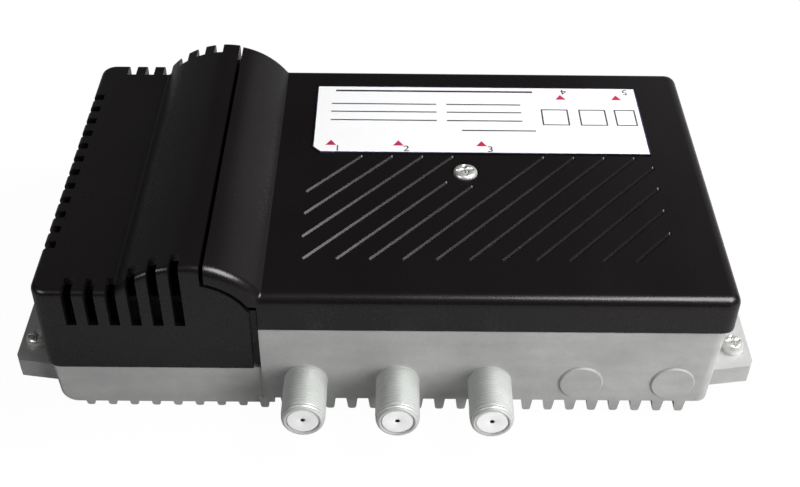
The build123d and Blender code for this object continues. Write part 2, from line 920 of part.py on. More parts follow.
def make_screws():
    """Every screw of the amplifier."""
    seat_z = cover_top_z - cover_screw_recess
    head = (cover_head_radius, cover_head_height)
    save(screw([(cover_screw_x, 0)], seat_z, cover_screw_radius, cover_screw_length, *head), "cover_screw")
    lug_places = [(-lug_hole_x, -lug_hole_y), (lug_hole_x, -lug_hole_y)]
    head = (lug_head_radius, lug_head_height)
    save(screw(lug_places, lug_top_z, lug_screw_radius, lug_screw_length, *head), "lug_screws")
    small = (small_screw_radius, small_screw_length, small_head_radius, small_head_height)
    save(screw(main_post_places, board_top_z, *small), "main_board_screws")
    save(screw(power_post_places, board_top_z, *small), "power_board_screws")
    save(screw(pillar_hole_places, shield_top_z, *small), "shield_screws")
    power = (power_screw_radius, power_screw_length, power_head_radius, power_head_height)
    save(screw(sleeve_places, power_head_seat_z, *power, down=False), "power_cover_screws")


def make_ports():
    """Barrel, white insulator and sprung contact of each coaxial port."""
    barrel_end = half_depth + port_length
    length = port_length + casting_wall - insulator_set_back
    contact_length = length - insulator_set_back
    for number, x in enumerate(port_xs, start=1):
        side = 1 if x in front_port_xs else -1
        with BuildPart() as barrel:
            with BuildSketch(Plane.XZ.offset(side * half_depth)):
                with Locations((x, port_z)):
                    Circle(port_radius)
            extrude(amount=side * port_length)
            with BuildSketch(Plane.XZ.offset(side * half_depth)):
                with Locations((x, port_z)):
                    Circle(port_spigot_radius)
            extrude(amount=-side * casting_wall)
            fillet(barrel.edges().group_by(Axis.Y)[0 if side == 1 else -1], port_tip_radius)
            with BuildSketch(Plane.XZ.offset(side * barrel_end)):
                with Locations((x, port_z)):
                    Circle(port_bore_radius)
            extrude(amount=-side * (port_length + casting_wall), mode=Mode.SUBTRACT)
        save(barrel, f"port_barrel_{number}")

        face = Plane.XZ.offset(side * (barrel_end - insulator_set_back))
        with BuildPart() as insulator:
            with BuildSketch(face):
                with Locations((x, port_z)):
                    Circle(port_bore_radius - press_clearance)
                    Circle(contact_radius, mode=Mode.SUBTRACT)
            extrude(amount=-side * length)
            with BuildSketch(face):
                with Locations((x, port_z)):
                    Circle(contact_radius)
                    Circle(contact_bore_radius, mode=Mode.SUBTRACT)
            extrude(amount=-side * insulator_set_back)
        save(insulator, f"port_insulator_{number}")

        inner_face = Plane.XZ.offset(side * (half_depth - casting_wall))
        with BuildPart() as contact:
            with BuildSketch(inner_face):
                with Locations((x, port_z)):
                    Circle(contact_radius - press_clearance)
            extrude(amount=side * contact_length)
            with BuildSketch(inner_face):
                with Locations((x, port_z)):
                    Circle(tail_radius)
            extrude(amount=-side * tail_length)
            with BuildSketch(Plane.XZ.offset(side * (half_depth - casting_wall + contact_length))):
                with Locations((x, port_z)):
                    Circle(contact_bore_radius)
            extrude(amount=-side * contact_depth, mode=Mode.SUBTRACT)
        save(contact, f"port_contact_{number}")


def make_boards():
    """Both circuit boards, with their holes and the room for posts and pillars."""
    screw_hole = small_screw_radius + running_clearance
    with BuildPart() as board:
        slab(
            (main_board_left_x, main_board_right_x),
            (-main_board_half_depth, main_board_half_depth),
            (board_z, board_top_z),
        )
        for x, y in pillar_hole_places:
            reach = pillar_side / 2 + seat_gap
            slab((x - reach, x + reach), (y - reach, y + reach), (board_z, board_top_z), mode=Mode.SUBTRACT)
        with Locations(*[(x, y, board_top_z) for x, y in main_post_places]):
            Hole(screw_hole, depth=board_thickness)
        with Locations((cover_screw_x, 0, board_top_z)):
            Hole(centre_post_radius + seat_gap, depth=board_thickness)
    save(board, "main_board")

    with BuildPart() as board:
        slab(
            (power_board_left_x, power_board_right_x),
            (-power_board_half_depth, power_board_half_depth),
            (board_z, board_top_z),
        )
        with Locations(*[(x, y, board_top_z) for x, y in power_post_places]):
            Hole(screw_hole, depth=board_thickness)
        with Locations(*[(x, y, board_top_z) for x, y in sleeve_places]):
            Hole(sleeve_radius + seat_gap, depth=board_thickness)
    save(board, "power_board")


def make_shield():
    """Tinned plate over the amplifier circuit, with holes over the controls."""
    right_x = end_wall_x(shield_z) - casting_wall - seat_gap
    with BuildPart() as shield:
        slab(
            (main_board_left_x, right_x),
            (-main_board_half_depth, main_board_half_depth),
            (shield_z, shield_top_z),
        )
        with Locations(*[(x, y, shield_top_z) for x, y in pillar_hole_places]):
            Hole(small_screw_radius + running_clearance, depth=shield_thickness)
        with Locations((cover_screw_x, 0, shield_top_z)):
            Hole(centre_post_radius + seat_gap, depth=shield_thickness)
        with Locations(*[(x, pot_y, shield_top_z) for x in front_port_xs]):
            Hole(access_radius, depth=shield_thickness)
        with BuildSketch(Plane.XY.offset(shield_top_z)):
            with Locations([(x, switch_y) for x in front_port_xs]):
                SlotOverall(switch_length, switch_depth)
        extrude(amount=-shield_thickness, mode=Mode.SUBTRACT)
    save(shield, "shield_plate")


def make_gain_controls():
    """Body and rotor of the gain control behind each input."""
    top_z = board_top_z + pot_height
    disc_z = top_z + pot_shoulder_height + running_clearance
    for number, x in enumerate(front_port_xs, start=1):
        with BuildPart() as body:
            with BuildSketch(Plane.XY.offset(board_top_z)):
                with Locations((x, pot_y)):
                    Circle(pot_radius)
            extrude(amount=pot_height)
            with BuildSketch(Plane.XY.offset(top_z)):
                with Locations((x, pot_y)):
                    Circle(pot_shoulder_radius)
            extrude(amount=pot_shoulder_height)
            with Locations((x, pot_y, top_z + pot_shoulder_height)):
                Hole(rotor_shaft_radius + running_clearance, depth=rotor_shaft_depth + pot_shoulder_height)
        save(body, f"gain_control_{number}")

        with BuildPart() as rotor:
            with BuildSketch(Plane.XY.offset(disc_z)):
                with Locations((x, pot_y)):
                    Circle(rotor_shaft_radius)
            extrude(amount=-rotor_shaft_depth)
            with BuildSketch(Plane.XY.offset(disc_z)):
                with Locations((x, pot_y)):
                    Circle(rotor_disc_radius)
            extrude(amount=rotor_disc_height)
            with BuildSketch(Plane.XY.offset(disc_z + rotor_disc_height)):
                with Locations((x, pot_y)):
                    Rectangle(2 * rotor_disc_radius, rotor_slot_width)
            extrude(amount=-rotor_slot_depth, mode=Mode.SUBTRACT)
        save(rotor, f"gain_rotor_{number}")


def make_feed_switches():
    """Body and slider of the supply switch behind each input."""
    roof_z = board_top_z + switch_height
    window = slider_length + switch_travel + 2 * running_clearance
    window_depth = slider_depth + 2 * running_clearance
    foot_room = slider_foot_length + switch_travel + 2 * running_clearance
    foot_z = board_top_z + switch_shell + running_clearance
    foot_depth = switch_depth - 2 * switch_shell - 2 * running_clearance
    for number, x in enumerate(front_port_xs, start=1):
        rest_x = x - switch_travel / 2
        with BuildPart() as body:
            slab(
                (x - switch_length / 2, x + switch_length / 2),
                (switch_y - switch_depth / 2, switch_y + switch_depth / 2),
                (board_top_z, roof_z),
            )
            slab(
                (x - foot_room / 2, x + foot_room / 2),
                (switch_y - switch_depth / 2 + switch_shell, switch_y + switch_depth / 2 - switch_shell),
                (board_top_z + switch_shell, roof_z - switch_shell),
                mode=Mode.SUBTRACT,
            )
            slab(
                (x - window / 2, x + window / 2),
                (switch_y - window_depth / 2, switch_y + window_depth / 2),
                (roof_z - 2 * switch_shell, roof_z + cut_overrun),
                mode=Mode.SUBTRACT,
            )
        save(body, f"feed_switch_{number}")

        with BuildPart() as slider:
            slab(
                (rest_x - slider_foot_length / 2, rest_x + slider_foot_length / 2),
                (switch_y - foot_depth / 2, switch_y + foot_depth / 2),
                (foot_z, foot_z + slider_foot_height),
            )
            slab(
                (rest_x - slider_length / 2, rest_x + slider_length / 2),
                (switch_y - slider_depth / 2, switch_y + slider_depth / 2),
                (foot_z + slider_foot_height, roof_z + slider_rise),
            )
        save(slider, f"feed_slider_{number}")


def make_amplifier_parts():
    """Fences, module, coils, capacitors and output coupler on the amplifier board."""
    wall_xs = [x - port_pitch / 2 for x in front_port_xs[1:]] + [front_port_xs[-1] + port_pitch / 2]
    left_x = main_board_left_x + board_screw_inset
    with BuildPart() as fence:
        for x in wall_xs:
            slab(
                (x - fence_thickness / 2, x + fence_thickness / 2),
                (fence_front_y, fence_back_y),
                (board_top_z, board_top_z + fence_height),
            )
        slab(
            (left_x, wall_xs[-1] + fence_thickness / 2),
            (fence_back_y - fence_thickness, fence_back_y),
            (board_top_z, board_top_z + fence_height),
        )
    save(fence, "filter_fence")

    with BuildPart() as module:
        with BuildSketch(Plane.XY.offset(board_top_z)):
            with Locations((module_x, module_y)):
                Rectangle(module_length, module_depth)
        extrude(amount=module_flange_height)
        with BuildSketch(Plane.XY.offset(board_top_z + module_flange_height)):
            with Locations((module_x, module_y)):
                Rectangle(module_length - 2 * module_flange, module_depth - 2 * module_flange)
        extrude(amount=module_height - module_flange_height)
        fillet(module.edges().group_by(Axis.Z)[-1], module_flange_height / 2)
    save(module, "amplifier_module")

    with BuildPart() as coils:
        with BuildSketch(Plane.XY.offset(board_top_z)):
            with Locations((coil_row_x, coil_y)):
                with GridLocations(coil_pitch, coil_pitch, coil_count, 2):
                    Circle(coil_radius)
                    Circle(coil_bore_radius, mode=Mode.SUBTRACT)
        extrude(amount=coil_height)
    save(coils, "filter_coils")

    with BuildPart() as cans:
        with BuildSketch(Plane.XY.offset(board_top_z)):
            with Locations([(can_first_x + can_pitch * i, can_y) for i in range(can_count)]):
                Circle(can_radius)
        extrude(amount=can_height)
        fillet(cans.edges().group_by(Axis.Z)[-1], can_round)
    save(cans, "board_capacitors")

    with BuildPart() as coupler:
        slab(
            (coupler_x - coupler_length / 2, coupler_x + coupler_length / 2),
            (coupler_y - coupler_depth / 2, coupler_y + coupler_depth / 2),
            (board_top_z, board_top_z + coupler_height),
        )
        with BuildSketch(Plane.XZ.offset(-coupler_y - coupler_depth / 2)):
            with Locations(
                (coupler_x - coupler_length / 4, board_top_z + coupler_height / 2),
                (coupler_x + coupler_length / 4, board_top_z + coupler_height / 2),
            ):
                Circle(coupler_bore_radius)
        extrude(amount=coupler_depth, mode=Mode.SUBTRACT)
    save(coupler, "output_coupler")


def make_link():
    """Plug strip that carries the supply through the wall between the boards."""
    left_x = power_board_right_x - link_reach
    right_x = main_board_left_x + link_reach
    with BuildPart() as strip:
        slab(
            (left_x, right_x),
            (link_y - link_length / 2, link_y + link_length / 2),
            (board_top_z, board_top_z + link_height),
        )
    save(strip, "link_strip")

    with BuildPart() as pins:
        for end, way in ((left_x, -1), (right_x, 1)):
            for i in range(link_pin_count):
                y = link_y + link_pin_pitch * (i - (link_pin_count - 1) / 2)
                slab(
                    sorted((end, end + way * link_pin_overlap)),
                    (y - link_pin_side / 2, y + link_pin_side / 2),
                    (board_top_z, board_top_z + link_pin_side),
                )
    save(pins, "link_pins")


def make_inlet():
    """Two-pin mains inlet in the rear wall."""
    face_y = power_cover_half_depth + inlet_proud
    centre_z = board_top_z + inlet_height / 2
    with BuildPart() as body:
        slab(
            (inlet_x - inlet_width / 2, inlet_x + inlet_width / 2),
            (face_y - inlet_depth, face_y),
            (board_top_z, board_top_z + inlet_height),
        )
        with BuildSketch(Plane.XZ.offset(-face_y)):
            with Locations((inlet_x, centre_z)):
                SlotOverall(inlet_mouth_width, inlet_mouth_height)
        extrude(amount=inlet_mouth_depth, mode=Mode.SUBTRACT)
        with BuildSketch(Plane.XZ.offset(-face_y + inlet_mouth_depth)):
            with Locations((inlet_x, centre_z)):
                with GridLocations(inlet_pin_pitch, 0, 2, 1):
                    Circle(inlet_pin_radius)
        extrude(amount=inlet_depth - inlet_mouth_depth, mode=Mode.SUBTRACT)
    save(body, "mains_inlet")

    with BuildPart() as pins:
        with BuildSketch(Plane.XZ.offset(-face_y + inlet_depth)):
            with Locations((inlet_x, centre_z)):
                with GridLocations(inlet_pin_pitch, 0, 2, 1):
                    Circle(inlet_pin_radius - press_clearance)
        extrude(amount=-(inlet_depth - inlet_mouth_depth + inlet_pin_length))
        fillet(pins.edges().group_by(Axis.Y)[-1], inlet_pin_radius / 2)
    save(pins, "inlet_pins")


def make_transformer():
    """Ferrite core and wound bobbin of the mains transformer."""
    limb_y = core_depth / 2
    window_half = core_centre_width / 2
    tunnel_x = core_thickness / 2 + winding_gap
    tunnel_y = window_half + winding_gap
    with BuildPart() as core:
        slab(
            (transformer_x - core_thickness / 2, transformer_x + core_thickness / 2),
            (transformer_y - limb_y, transformer_y + limb_y),
            (board_top_z, board_top_z + core_height),
        )
        for low_y, high_y in ((-limb_y + core_limb, -window_half), (window_half, limb_y - core_limb)):
            slab(
                (transformer_x - core_thickness, transformer_x + core_thickness),
                (transformer_y + low_y, transformer_y + high_y),
                (board_top_z + core_limb, board_top_z + core_height - core_limb),
                mode=Mode.SUBTRACT,
            )
    save(core, "transformer_core")

    low_z = board_top_z + core_limb + winding_gap
    high_z = board_top_z + core_height - core_limb - winding_gap
    reach = limb_y - core_limb - winding_gap
    with BuildPart() as winding:
        for z in (low_z, high_z - winding_flange):
            slab(
                (transformer_x - core_length / 2, transformer_x + core_length / 2),
                (transformer_y - reach, transformer_y + reach),
                (z, z + winding_flange),
            )
        with BuildSketch(Plane.XY.offset(low_z)):
            with Locations((transformer_x, transformer_y)):
                Circle(winding_radius)
        extrude(amount=high_z - low_z)
        slab(
            (transformer_x - tunnel_x, transformer_x + tunnel_x),
            (transformer_y - tunnel_y, transformer_y + tunnel_y),
            (low_z, high_z),
            mode=Mode.SUBTRACT,
        )
    save(winding, "transformer_winding")


def make_can(x, y, radius, height, label):
    """Upright electrolytic capacitor."""
    with BuildPart() as can:
        with BuildSketch(Plane.XY.offset(board_top_z)):
            with Locations((x, y)):
                Circle(radius)
        extrude(amount=height)
        fillet(can.edges().group_by(Axis.Z)[-1], can_round)
    save(can, label)


def make_mains_parts():
    """Fuse, choke, rectifier, capacitors and regulator on the mains board."""
    make_can(bulk_x, bulk_y, bulk_radius, bulk_height, "mains_capacitor")
    make_can(output_x, output_y, output_radius, output_height, "output_capacitor")

    with BuildPart() as rectifier:
        slab(
            (rectifier_x - rectifier_width / 2, rectifier_x + rectifier_width / 2),
            (rectifier_y - rectifier_length / 2, rectifier_y + rectifier_length / 2),
            (board_top_z, board_top_z + rectifier_height),
        )
    save(rectifier, "rectifier")

    window = choke_window_share * choke_length
    with BuildPart() as choke:
        slab(
            (choke_x - choke_length / 2, choke_x + choke_length / 2),
            (choke_y - choke_depth / 2, choke_y + choke_depth / 2),
            (board_top_z, board_top_z + choke_height),
        )
        slab(
            (choke_x - window / 2, choke_x + window / 2),
            (choke_y - choke_depth / 2, choke_y + choke_depth / 2),
            (board_top_z + (choke_height - window) / 2, board_top_z + (choke_height + window) / 2),
            mode=Mode.SUBTRACT,
        )
    save(choke, "choke")

    fuse_z = board_top_z + fuse_lift + fuse_radius
    with BuildPart() as fuse:
        with BuildSketch(Plane.XZ.offset(-fuse_y - fuse_length / 2)):
            with Locations((fuse_x, fuse_z)):
                Circle(fuse_radius)
        extrude(amount=fuse_length)
    save(fuse, "fuse")

    with BuildPart() as clips:
        for side in (-1, 1):
            y = fuse_y + side * (fuse_length - fuse_clip_length) / 2
            with BuildSketch(Plane.XZ.offset(-y - fuse_clip_length / 2)):
                with Locations((fuse_x, fuse_z)):
                    Circle(fuse_radius + press_clearance + fuse_clip_thickness)
                with Locations((fuse_x, (board_top_z + fuse_z) / 2)):
                    Rectangle(fuse_radius, fuse_z - board_top_z)
                with Locations((fuse_x, fuse_z)):
                    Circle(fuse_radius + press_clearance, mode=Mode.SUBTRACT)
                with Locations((fuse_x, fuse_z + fuse_radius)):
                    Rectangle(2 * fuse_radius, fuse_radius, mode=Mode.SUBTRACT)
            extrude(amount=fuse_clip_length)
    save(clips, "fuse_clips")

    with BuildPart() as sink:
        slab(
            (sink_x - sink_length / 2, sink_x + sink_length / 2),
            (sink_y - sink_thickness, sink_y),
            (board_top_z, board_top_z + sink_height),
        )
        slab(
            (sink_x - sink_length / 2, sink_x + sink_length / 2),
            (sink_y - sink_foot, sink_y),
            (board_top_z, board_top_z + sink_thickness),
        )
    save(sink, "heat_sink")

    with BuildPart() as regulator:
        slab(
            (sink_x - regulator_width / 2, sink_x + regulator_width / 2),
            (sink_y, sink_y + regulator_thickness),
            (board_top_z, board_top_z + regulator_height),
        )
        top_edge = regulator.edges().filter_by(Axis.X).group_by(Axis.Z)[-1].sort_by(Axis.Y)[-1]
        chamfer(top_edge, regulator_thickness / 4)
    save(regulator, "regulator")


make_housing()
make_main_cover()
make_power_cover()
make_label()
make_screws()
make_ports()
make_boards()
make_shield()
make_gain_controls()
make_feed_switches()
make_amplifier_parts()
make_link()
make_inlet()
make_transformer()
make_mains_parts()
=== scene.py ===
import json
from math import cos, pi, radians, sin, tau

import bmesh
import bpy
from bpy.props import FloatProperty, FloatVectorProperty, IntProperty, PointerProperty
from mathutils import Matrix, Vector


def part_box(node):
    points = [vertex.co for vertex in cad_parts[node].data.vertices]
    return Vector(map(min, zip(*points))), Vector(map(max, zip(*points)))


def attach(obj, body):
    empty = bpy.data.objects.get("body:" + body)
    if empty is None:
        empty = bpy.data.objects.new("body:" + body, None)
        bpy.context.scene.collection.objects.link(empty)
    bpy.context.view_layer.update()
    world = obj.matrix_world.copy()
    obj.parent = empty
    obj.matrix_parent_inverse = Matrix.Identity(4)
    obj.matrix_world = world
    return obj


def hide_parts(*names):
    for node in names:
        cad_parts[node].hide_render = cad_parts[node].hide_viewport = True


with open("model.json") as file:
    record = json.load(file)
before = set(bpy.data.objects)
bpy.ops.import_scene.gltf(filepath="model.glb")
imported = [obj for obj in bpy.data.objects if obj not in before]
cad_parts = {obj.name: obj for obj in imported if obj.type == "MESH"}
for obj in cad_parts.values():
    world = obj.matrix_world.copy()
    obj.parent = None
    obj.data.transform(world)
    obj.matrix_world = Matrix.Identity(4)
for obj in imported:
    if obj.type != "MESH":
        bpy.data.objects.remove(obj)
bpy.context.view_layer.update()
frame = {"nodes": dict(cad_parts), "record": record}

bl_info = {
    "name": "Aerial amplifier dressing",
    "version": (1, 0, 0),
    "blender": (4, 5, 0),
    "location": "3D View > Sidebar > Amplifier",
    "description": "Threads, screws, print and finishes of an indoor aerial amplifier",
    "category": "Object",
}

MM = 0.001
PORTS = range(1, 6)
INPUTS = range(1, 4)
MERGE_DISTANCE = 0.001 * MM

# Turned shapes: steps round them and steps along their curves
PORT_STEPS = 64
HEAD_STEPS = 48
SCREW_THREAD_STEPS = 24
DOME_STEPS = 6
HOLLOW_STEPS = 8

# Ridge of a thread: heights of its crest's two edges and of its far foot, in half pitches
RIDGE = (0.8, 1.05, 1.85)

# Barrel of a port: its chamfers, and how far the thread sinks into it and runs past its ends
COLLAR_CHAMFER = 0.2 * MM
NOSE_STEP = (0.1 * MM, 0.14 * MM, 0.08 * MM)
RIDGE_SUNK = 0.05 * MM
RUN_OUT = 0.3 * MM

# Mouth of a port, as depth under the crest and distance behind the end in millimetres
MOUTH = (
    (0.12, 1.1),
    (0.46, 0.98),
    (0.46, 0.9),
    (0.2, 0.78),
    (0.3, 0.52),
    (0.66, 0.42),
    (0.64, 0.34),
    (0.5, 0.24),
    (0.7, 0.05),
    (0.88, 0.0),
)

# Inner edge of the mouth, as distance from the bore and distance behind the end in millimetres
BORE_EDGE = ((0.16, 0.02), (0.03, 0.14), (0.0, 0.4))

# Face of an insulator: its chamfer, and the inner reach, share of the depth and curve of its hollow
FACE_CHAMFER = 0.12 * MM
HOLLOW_START = 1.3
HOLLOW_SHARE = 0.85
HOLLOW_CURVE = 1.6

# Lip of the hole, as a share of its radius and a height above the hollow in millimetres
HOLE_LIP = ((1.2, 0.02), (1.0, -0.03), (1.0, -0.06))

# Screws: tip, core and thread's foot as shares of the shank, its taper and its plain ends
TIP_SHARE = 0.55
CORE_SHARE = 0.82
FOOT_SHARE = 0.78
TAPER_LENGTH = 0.5 * MM
PLAIN_TIP = 0.4 * MM
PLAIN_NECK = 0.2 * MM

# Screws: how far a dome draws in, and the cross's height and taper
DOME_DRAW = 0.42
CROSS_HEIGHT = 1.1
CROSS_TAPER = 0.85

# Print: shift of a cut corner's ends, height of an arrow head, and font size of a digit
CORNER_SHIFT = 0.41
ARROW_TALL = 0.8
FONT_SIZE = 1.4

# Print: shifts of the arrow heads and numbers from their ports, in millimetres
ARROW_SHIFTS = (3.7, -0.2, -0.3, 0.5, -5.5)
NUMBER_SHIFTS = (5.3, 1.7, 1.7, 1.5, -3.0)

# Print: ruled lines as start, end and place in millimetres, and weight in rules
LINE_COLUMNS = ((-14.0, 12.0), (14.5, 33.0))
LINE_ROWS = (27.5, 24.1, 20.5)
RULED_LINES = (
    (-13.2, 36.4, 33.3, 2.6),
    *((start, end, row, 1.6) for row in LINE_ROWS for start, end in LINE_COLUMNS),
    (18.0, 36.0, 16.4, 1.6),
)

# Print: empty frames as start and width, their two heights, and their weight in rules
EMPTY_FRAMES = ((37.9, 6.7), (47.2, 6.7), (56.0, 5.2))
FRAME_HEIGHTS = (18.9, 25.7)
FRAME_WEIGHT = 1.3

# Shield plate: short marks, place and size of the numbers
SHORT_MARK = 0.4 * MM
NUMBER_GAP = 1.2 * MM
NUMBER_SIZE = 0.9

# Masks: their two ends on a ramp
MASK_OFF = (0.0, 0.0, 0.0)
MASK_ON = (1.0, 1.0, 1.0)

# Floor: half its side, its colour in shadow, and how much of its white each ray sees
FLOOR_REACH = 3.0
FLOOR_TONE = (0.4, 0.4, 0.4, 1.0)
FLOOR_GLOW = 1.05
FLOOR_SEEN = 0.93
FLOOR_MIRRORED = 0.05
WHITE = (1.0, 1.0, 1.0, 1.0)

# Lamps: name, place, size, and whether they show in matt and in gloss
LAMPS = (
    ("key", (0.5, 0.12, 0.55), 0.3, True, False),
    ("front", (0.34, -0.31, 0.13), 0.26, True, False),
    ("side", (0.42, 0.62, 0.24), 0.5, True, True),
    ("fill", (-0.45, 0.6, 0.32), 0.5, True, True),
    ("gloss", (0.3, -0.13, 0.55), 0.37, False, True),
    ("gloss_left", (-0.4, -0.25, 0.4), 0.25, False, True),
)
LAMPS_AIM = Vector((0.0, 0.0, 0.02))

# Camera fitted to the photograph: place in metres, angles in degrees, lens in millimetres
CAMERA_PLACE = (0.00151, -0.22662, 0.20547)
CAMERA_YAW = 0.29
CAMERA_PITCH = 40.62
CAMERA_ROLL = 0.69
CAMERA_LENS = 55.03
CAMERA_SENSOR = 36.0
CAMERA_SHIFT = (0.003, -0.0004)
CAMERA_NEAR = 0.01


# Sizes and colours that a user would change


def length(name, description, default):
    """A length in metres, given in millimetres."""
    return FloatProperty(
        name=name,
        description=description,
        default=default * MM,
        subtype="DISTANCE",
        unit="LENGTH",
    )


def angle(name, description, default, low=0.0, high=360.0):
    """An angle in radians, given in degrees."""
    return FloatProperty(
        name=name,
        description=description,
        default=radians(default),
        min=radians(low),
        max=radians(high),
        subtype="ANGLE",
        unit="ROTATION",
    )


def share(name, description, default, low=0.0, high=1.0):
    """A share of another size."""
    return FloatProperty(
        name=name,
        description=description,
        default=default,
        min=low,
        max=high,
        subtype="FACTOR",
    )


def count(name, description, default, low, high):
    """A whole number."""
    return IntProperty(name=name, description=description, default=default, min=low, max=high)


def colour(name, description, default):
    """A colour without transparency."""
    return FloatVectorProperty(
        name=name,
        description=description,
        default=default,
        subtype="COLOR",
        size=3,
        min=0.0,
        max=1.0,
    )


def power(name, description, default):
    """Power of a lamp, in watts."""
    return FloatProperty(
        name=name, description=description, default=default, min=0.0, unit="POWER"
    )


class ThreadSizes(bpy.types.PropertyGroup):
    """Barrels, threads and insulators of the ports."""

    barrel: length("Barrel", "Length of a port in front of the casting", 12.1)
    spigot: length("Spigot", "Radius of a port inside the casting's wall", 4.25)
    pitch: length("Pitch", "Distance from one turn to the next", 0.794)
    depth: length("Depth", "Height of the thread above its root", 0.48)
    nose: length("Nose", "Plain length at the mouth of a port", 1.5)
    collar: length("Collar", "Plain length at the root of a port", 0.7)
    dish: length("Hollow", "Depth of the hollow in the face of an insulator", 0.26)
    rim: length("Rim", "Width of the flat rim round that hollow", 0.45)
    gap: length("Gap", "Width of the ring-shaped gap round an insulator's face", 0.22)
    gap_depth: length("Gap's depth", "Depth of that gap", 0.5)
    hole: length("Hole", "Radius of the hole in the face of an insulator", 0.5)
    contact: length("Contact", "Radius of the contact inside an insulator", 1.0)
    steps: count("Steps", "Steps in one turn of a thread", 40, 12, 96)


class ScrewSizes(bpy.types.PropertyGroup):
    """Heads and threads of the screws."""

    dome_share: share("Dome", "Share of a head's height that is domed", 0.68, 0.1, 0.9)
    recess_share: share("Recess", "Reach of the cross, of the head's radius", 0.72, 0.2, 0.8)
    wing_share: share("Wing", "Width of the cross, of the head's radius", 0.27, 0.1, 0.4)
    turned: angle("Turned", "Angle of the cross", 10.0)
    pitch: length("Pitch", "Distance from one turn of a screw's thread to the next", 0.7)
    floor: length("Floor", "Metal left under the cross", 0.15)
    cover_seat: length("Lid screw's seat", "Depth of the seat under the lid screw's top", 1.9)
    cover_head: length("Lid screw's head", "Height of the lid screw's head", 1.35)
    cover_shank: length("Lid screw's shank", "Radius of the lid screw's shank", 1.5)
    lug_head: length("Lug screw's head", "Height of a lug screw's head", 2.3)
    lug_reach: length("Lug screw's width", "Radius of a lug screw's head", 2.5)
    lug_shank: length("Lug screw's shank", "Radius of a lug screw's shank", 1.9)


class PrintSizes(bpy.types.PropertyGroup):
    """Marks on the label and the shield plate."""

    ink: length("Ink", "Thickness of the ink", 0.012)
    edge: length("Edge", "Width of the label's dark edge", 0.32)
    overhang: length("Overhang", "Reach of the dark edge past the film", 0.04)
    corner: length("Corner", "Length cut off the film's corner", 2.0)
    digit: length("Digit", "Height of a port's number", 2.3)
    front_digits: length("Numbers in front", "Place of the input ports' numbers", 8.7)
    rear_digits: length("Numbers behind", "Place of the rear ports' numbers", 33.6)
    arrow: length("Arrow", "Width of an arrow head", 2.6)
    front_arrows: length("Arrows in front", "Place of the input ports' arrow heads", 11.0)
    rear_arrows: length("Arrows behind", "Place of the rear ports' arrow heads", 31.1)
    rule: length("Rule", "Width of a ruled line", 0.28)
    ticks: count("Ticks", "Marks round a gain control", 9, 3, 21)
    sweep: angle("Sweep", "Angle between the end marks", 234.0, 90.0, 330.0)
    tick_start: length("Tick start", "Distance of the marks from the control's axis", 4.1)
    tick_end: length("Tick end", "Reach of the end marks from the control's axis", 5.2)
    ink_colour: colour("Ink", "Colour of the ink", (0.018, 0.016, 0.03))
    arrow_colour: colour("Arrow", "Colour of the arrow heads", (0.5, 0.012, 0.075))
    edge_colour: colour("Edge", "Colour of the dark edge", (0.02, 0.015, 0.06))


class FinishColours(bpy.types.PropertyGroup):
    """Colours of the main finishes."""

    casting_light: colour("Casting, light", "Light patches of the casting", (0.53, 0.53, 0.52))
    casting_dark: colour("Casting, dark", "Dark patches of the casting", (0.37, 0.375, 0.37))
    barrel: colour("Barrel", "Plating of the ports", (0.742, 0.7579, 0.7384))
    cover: colour("Cover", "Plastic of the covers", (0.0058, 0.0046, 0.0050))
    dust: colour("Dust", "Specks on the covers", (0.35, 0.34, 0.33))
    label: colour("Label", "Film of the label", (0.97, 0.97, 0.975))
    zinc: colour("Zinc", "Plating of the screws", (0.72, 0.73, 0.70))
    laminate: colour("Laminate", "Solder resist of the boards", (0.02, 0.16, 0.05))


class StudioLevels(bpy.types.PropertyGroup):
    """Lamps and surroundings."""

    key: power("Key", "Power of the key lamp", 5.8)
    front: power("Front", "Power of the lamp in front", 2.12)
    side: power("Side", "Power of the low lamp behind", 0.22)
    fill: power("Fill", "Power of the fill lamp", 0.07)
    gloss: power("Gloss", "Power of the panel that shows in gloss only", 7.0)
    gloss_left: power("Gloss, left", "Power of the left panel that shows in gloss only", 1.2)
    surroundings: share("Surroundings", "Strength of the surroundings", 0.17)
    mirrored: share("Mirrored", "Share of the surroundings that shows in gloss", 0.25)


GROUPS = {
    "amplifier_thread": ThreadSizes,
    "amplifier_screws": ScrewSizes,
    "amplifier_print": PrintSizes,
    "amplifier_colours": FinishColours,
    "amplifier_studio": StudioLevels,
}


# Finishes, built from shader expressions


class Signal:
    """Output of a shader node, on which Python's arithmetic adds Math nodes."""

    def __init__(self, nodes, socket):
        self.nodes = nodes
        self.socket = socket

    def join(self, operation, other):
        return self.nodes.node("ShaderNodeMath", {"operation": operation}, {0: self, 1: other})

    def __add__(self, other):
        return self.join("ADD", other)

    __radd__ = __add__

    def __mul__(self, other):
        return self.join("MULTIPLY", other)

    __rmul__ = __mul__


class Nodes:
    """Node tree of a material or a world under construction."""

    def __init__(self, tree):
        self.tree = tree
        self.tree.nodes.clear()

    def node(self, kind, settings=None, inputs=None, output=0):
        """Add a node with its settings and its sockets' values or links."""
        made = self.tree.nodes.new(kind)
        for name, value in (settings or {}).items():
            if name == "stops":
                stops = made.color_ramp.elements
                while len(stops) < len(value):
                    stops.new(1.0)
                for stop, (position, tone) in zip(stops, value):
                    stop.position = position
                    stop.color = (*tone, 1.0)
            else:
                setattr(made, name, value)
        for name, value in (inputs or {}).items():
            if isinstance(value, Signal):
                self.tree.links.new(value.socket, made.inputs[name])
            else:
                made.inputs[name].default_value = value
        return Signal(self, made.outputs[output]) if made.outputs else None

    def rays(self):
        """Masks of the rays from the camera, in gloss and through glass."""
        kinds = ("Is Camera Ray", "Is Glossy Ray", "Is Transmission Ray")
        return [self.node("ShaderNodeLightPath", output=kind) for kind in kinds]


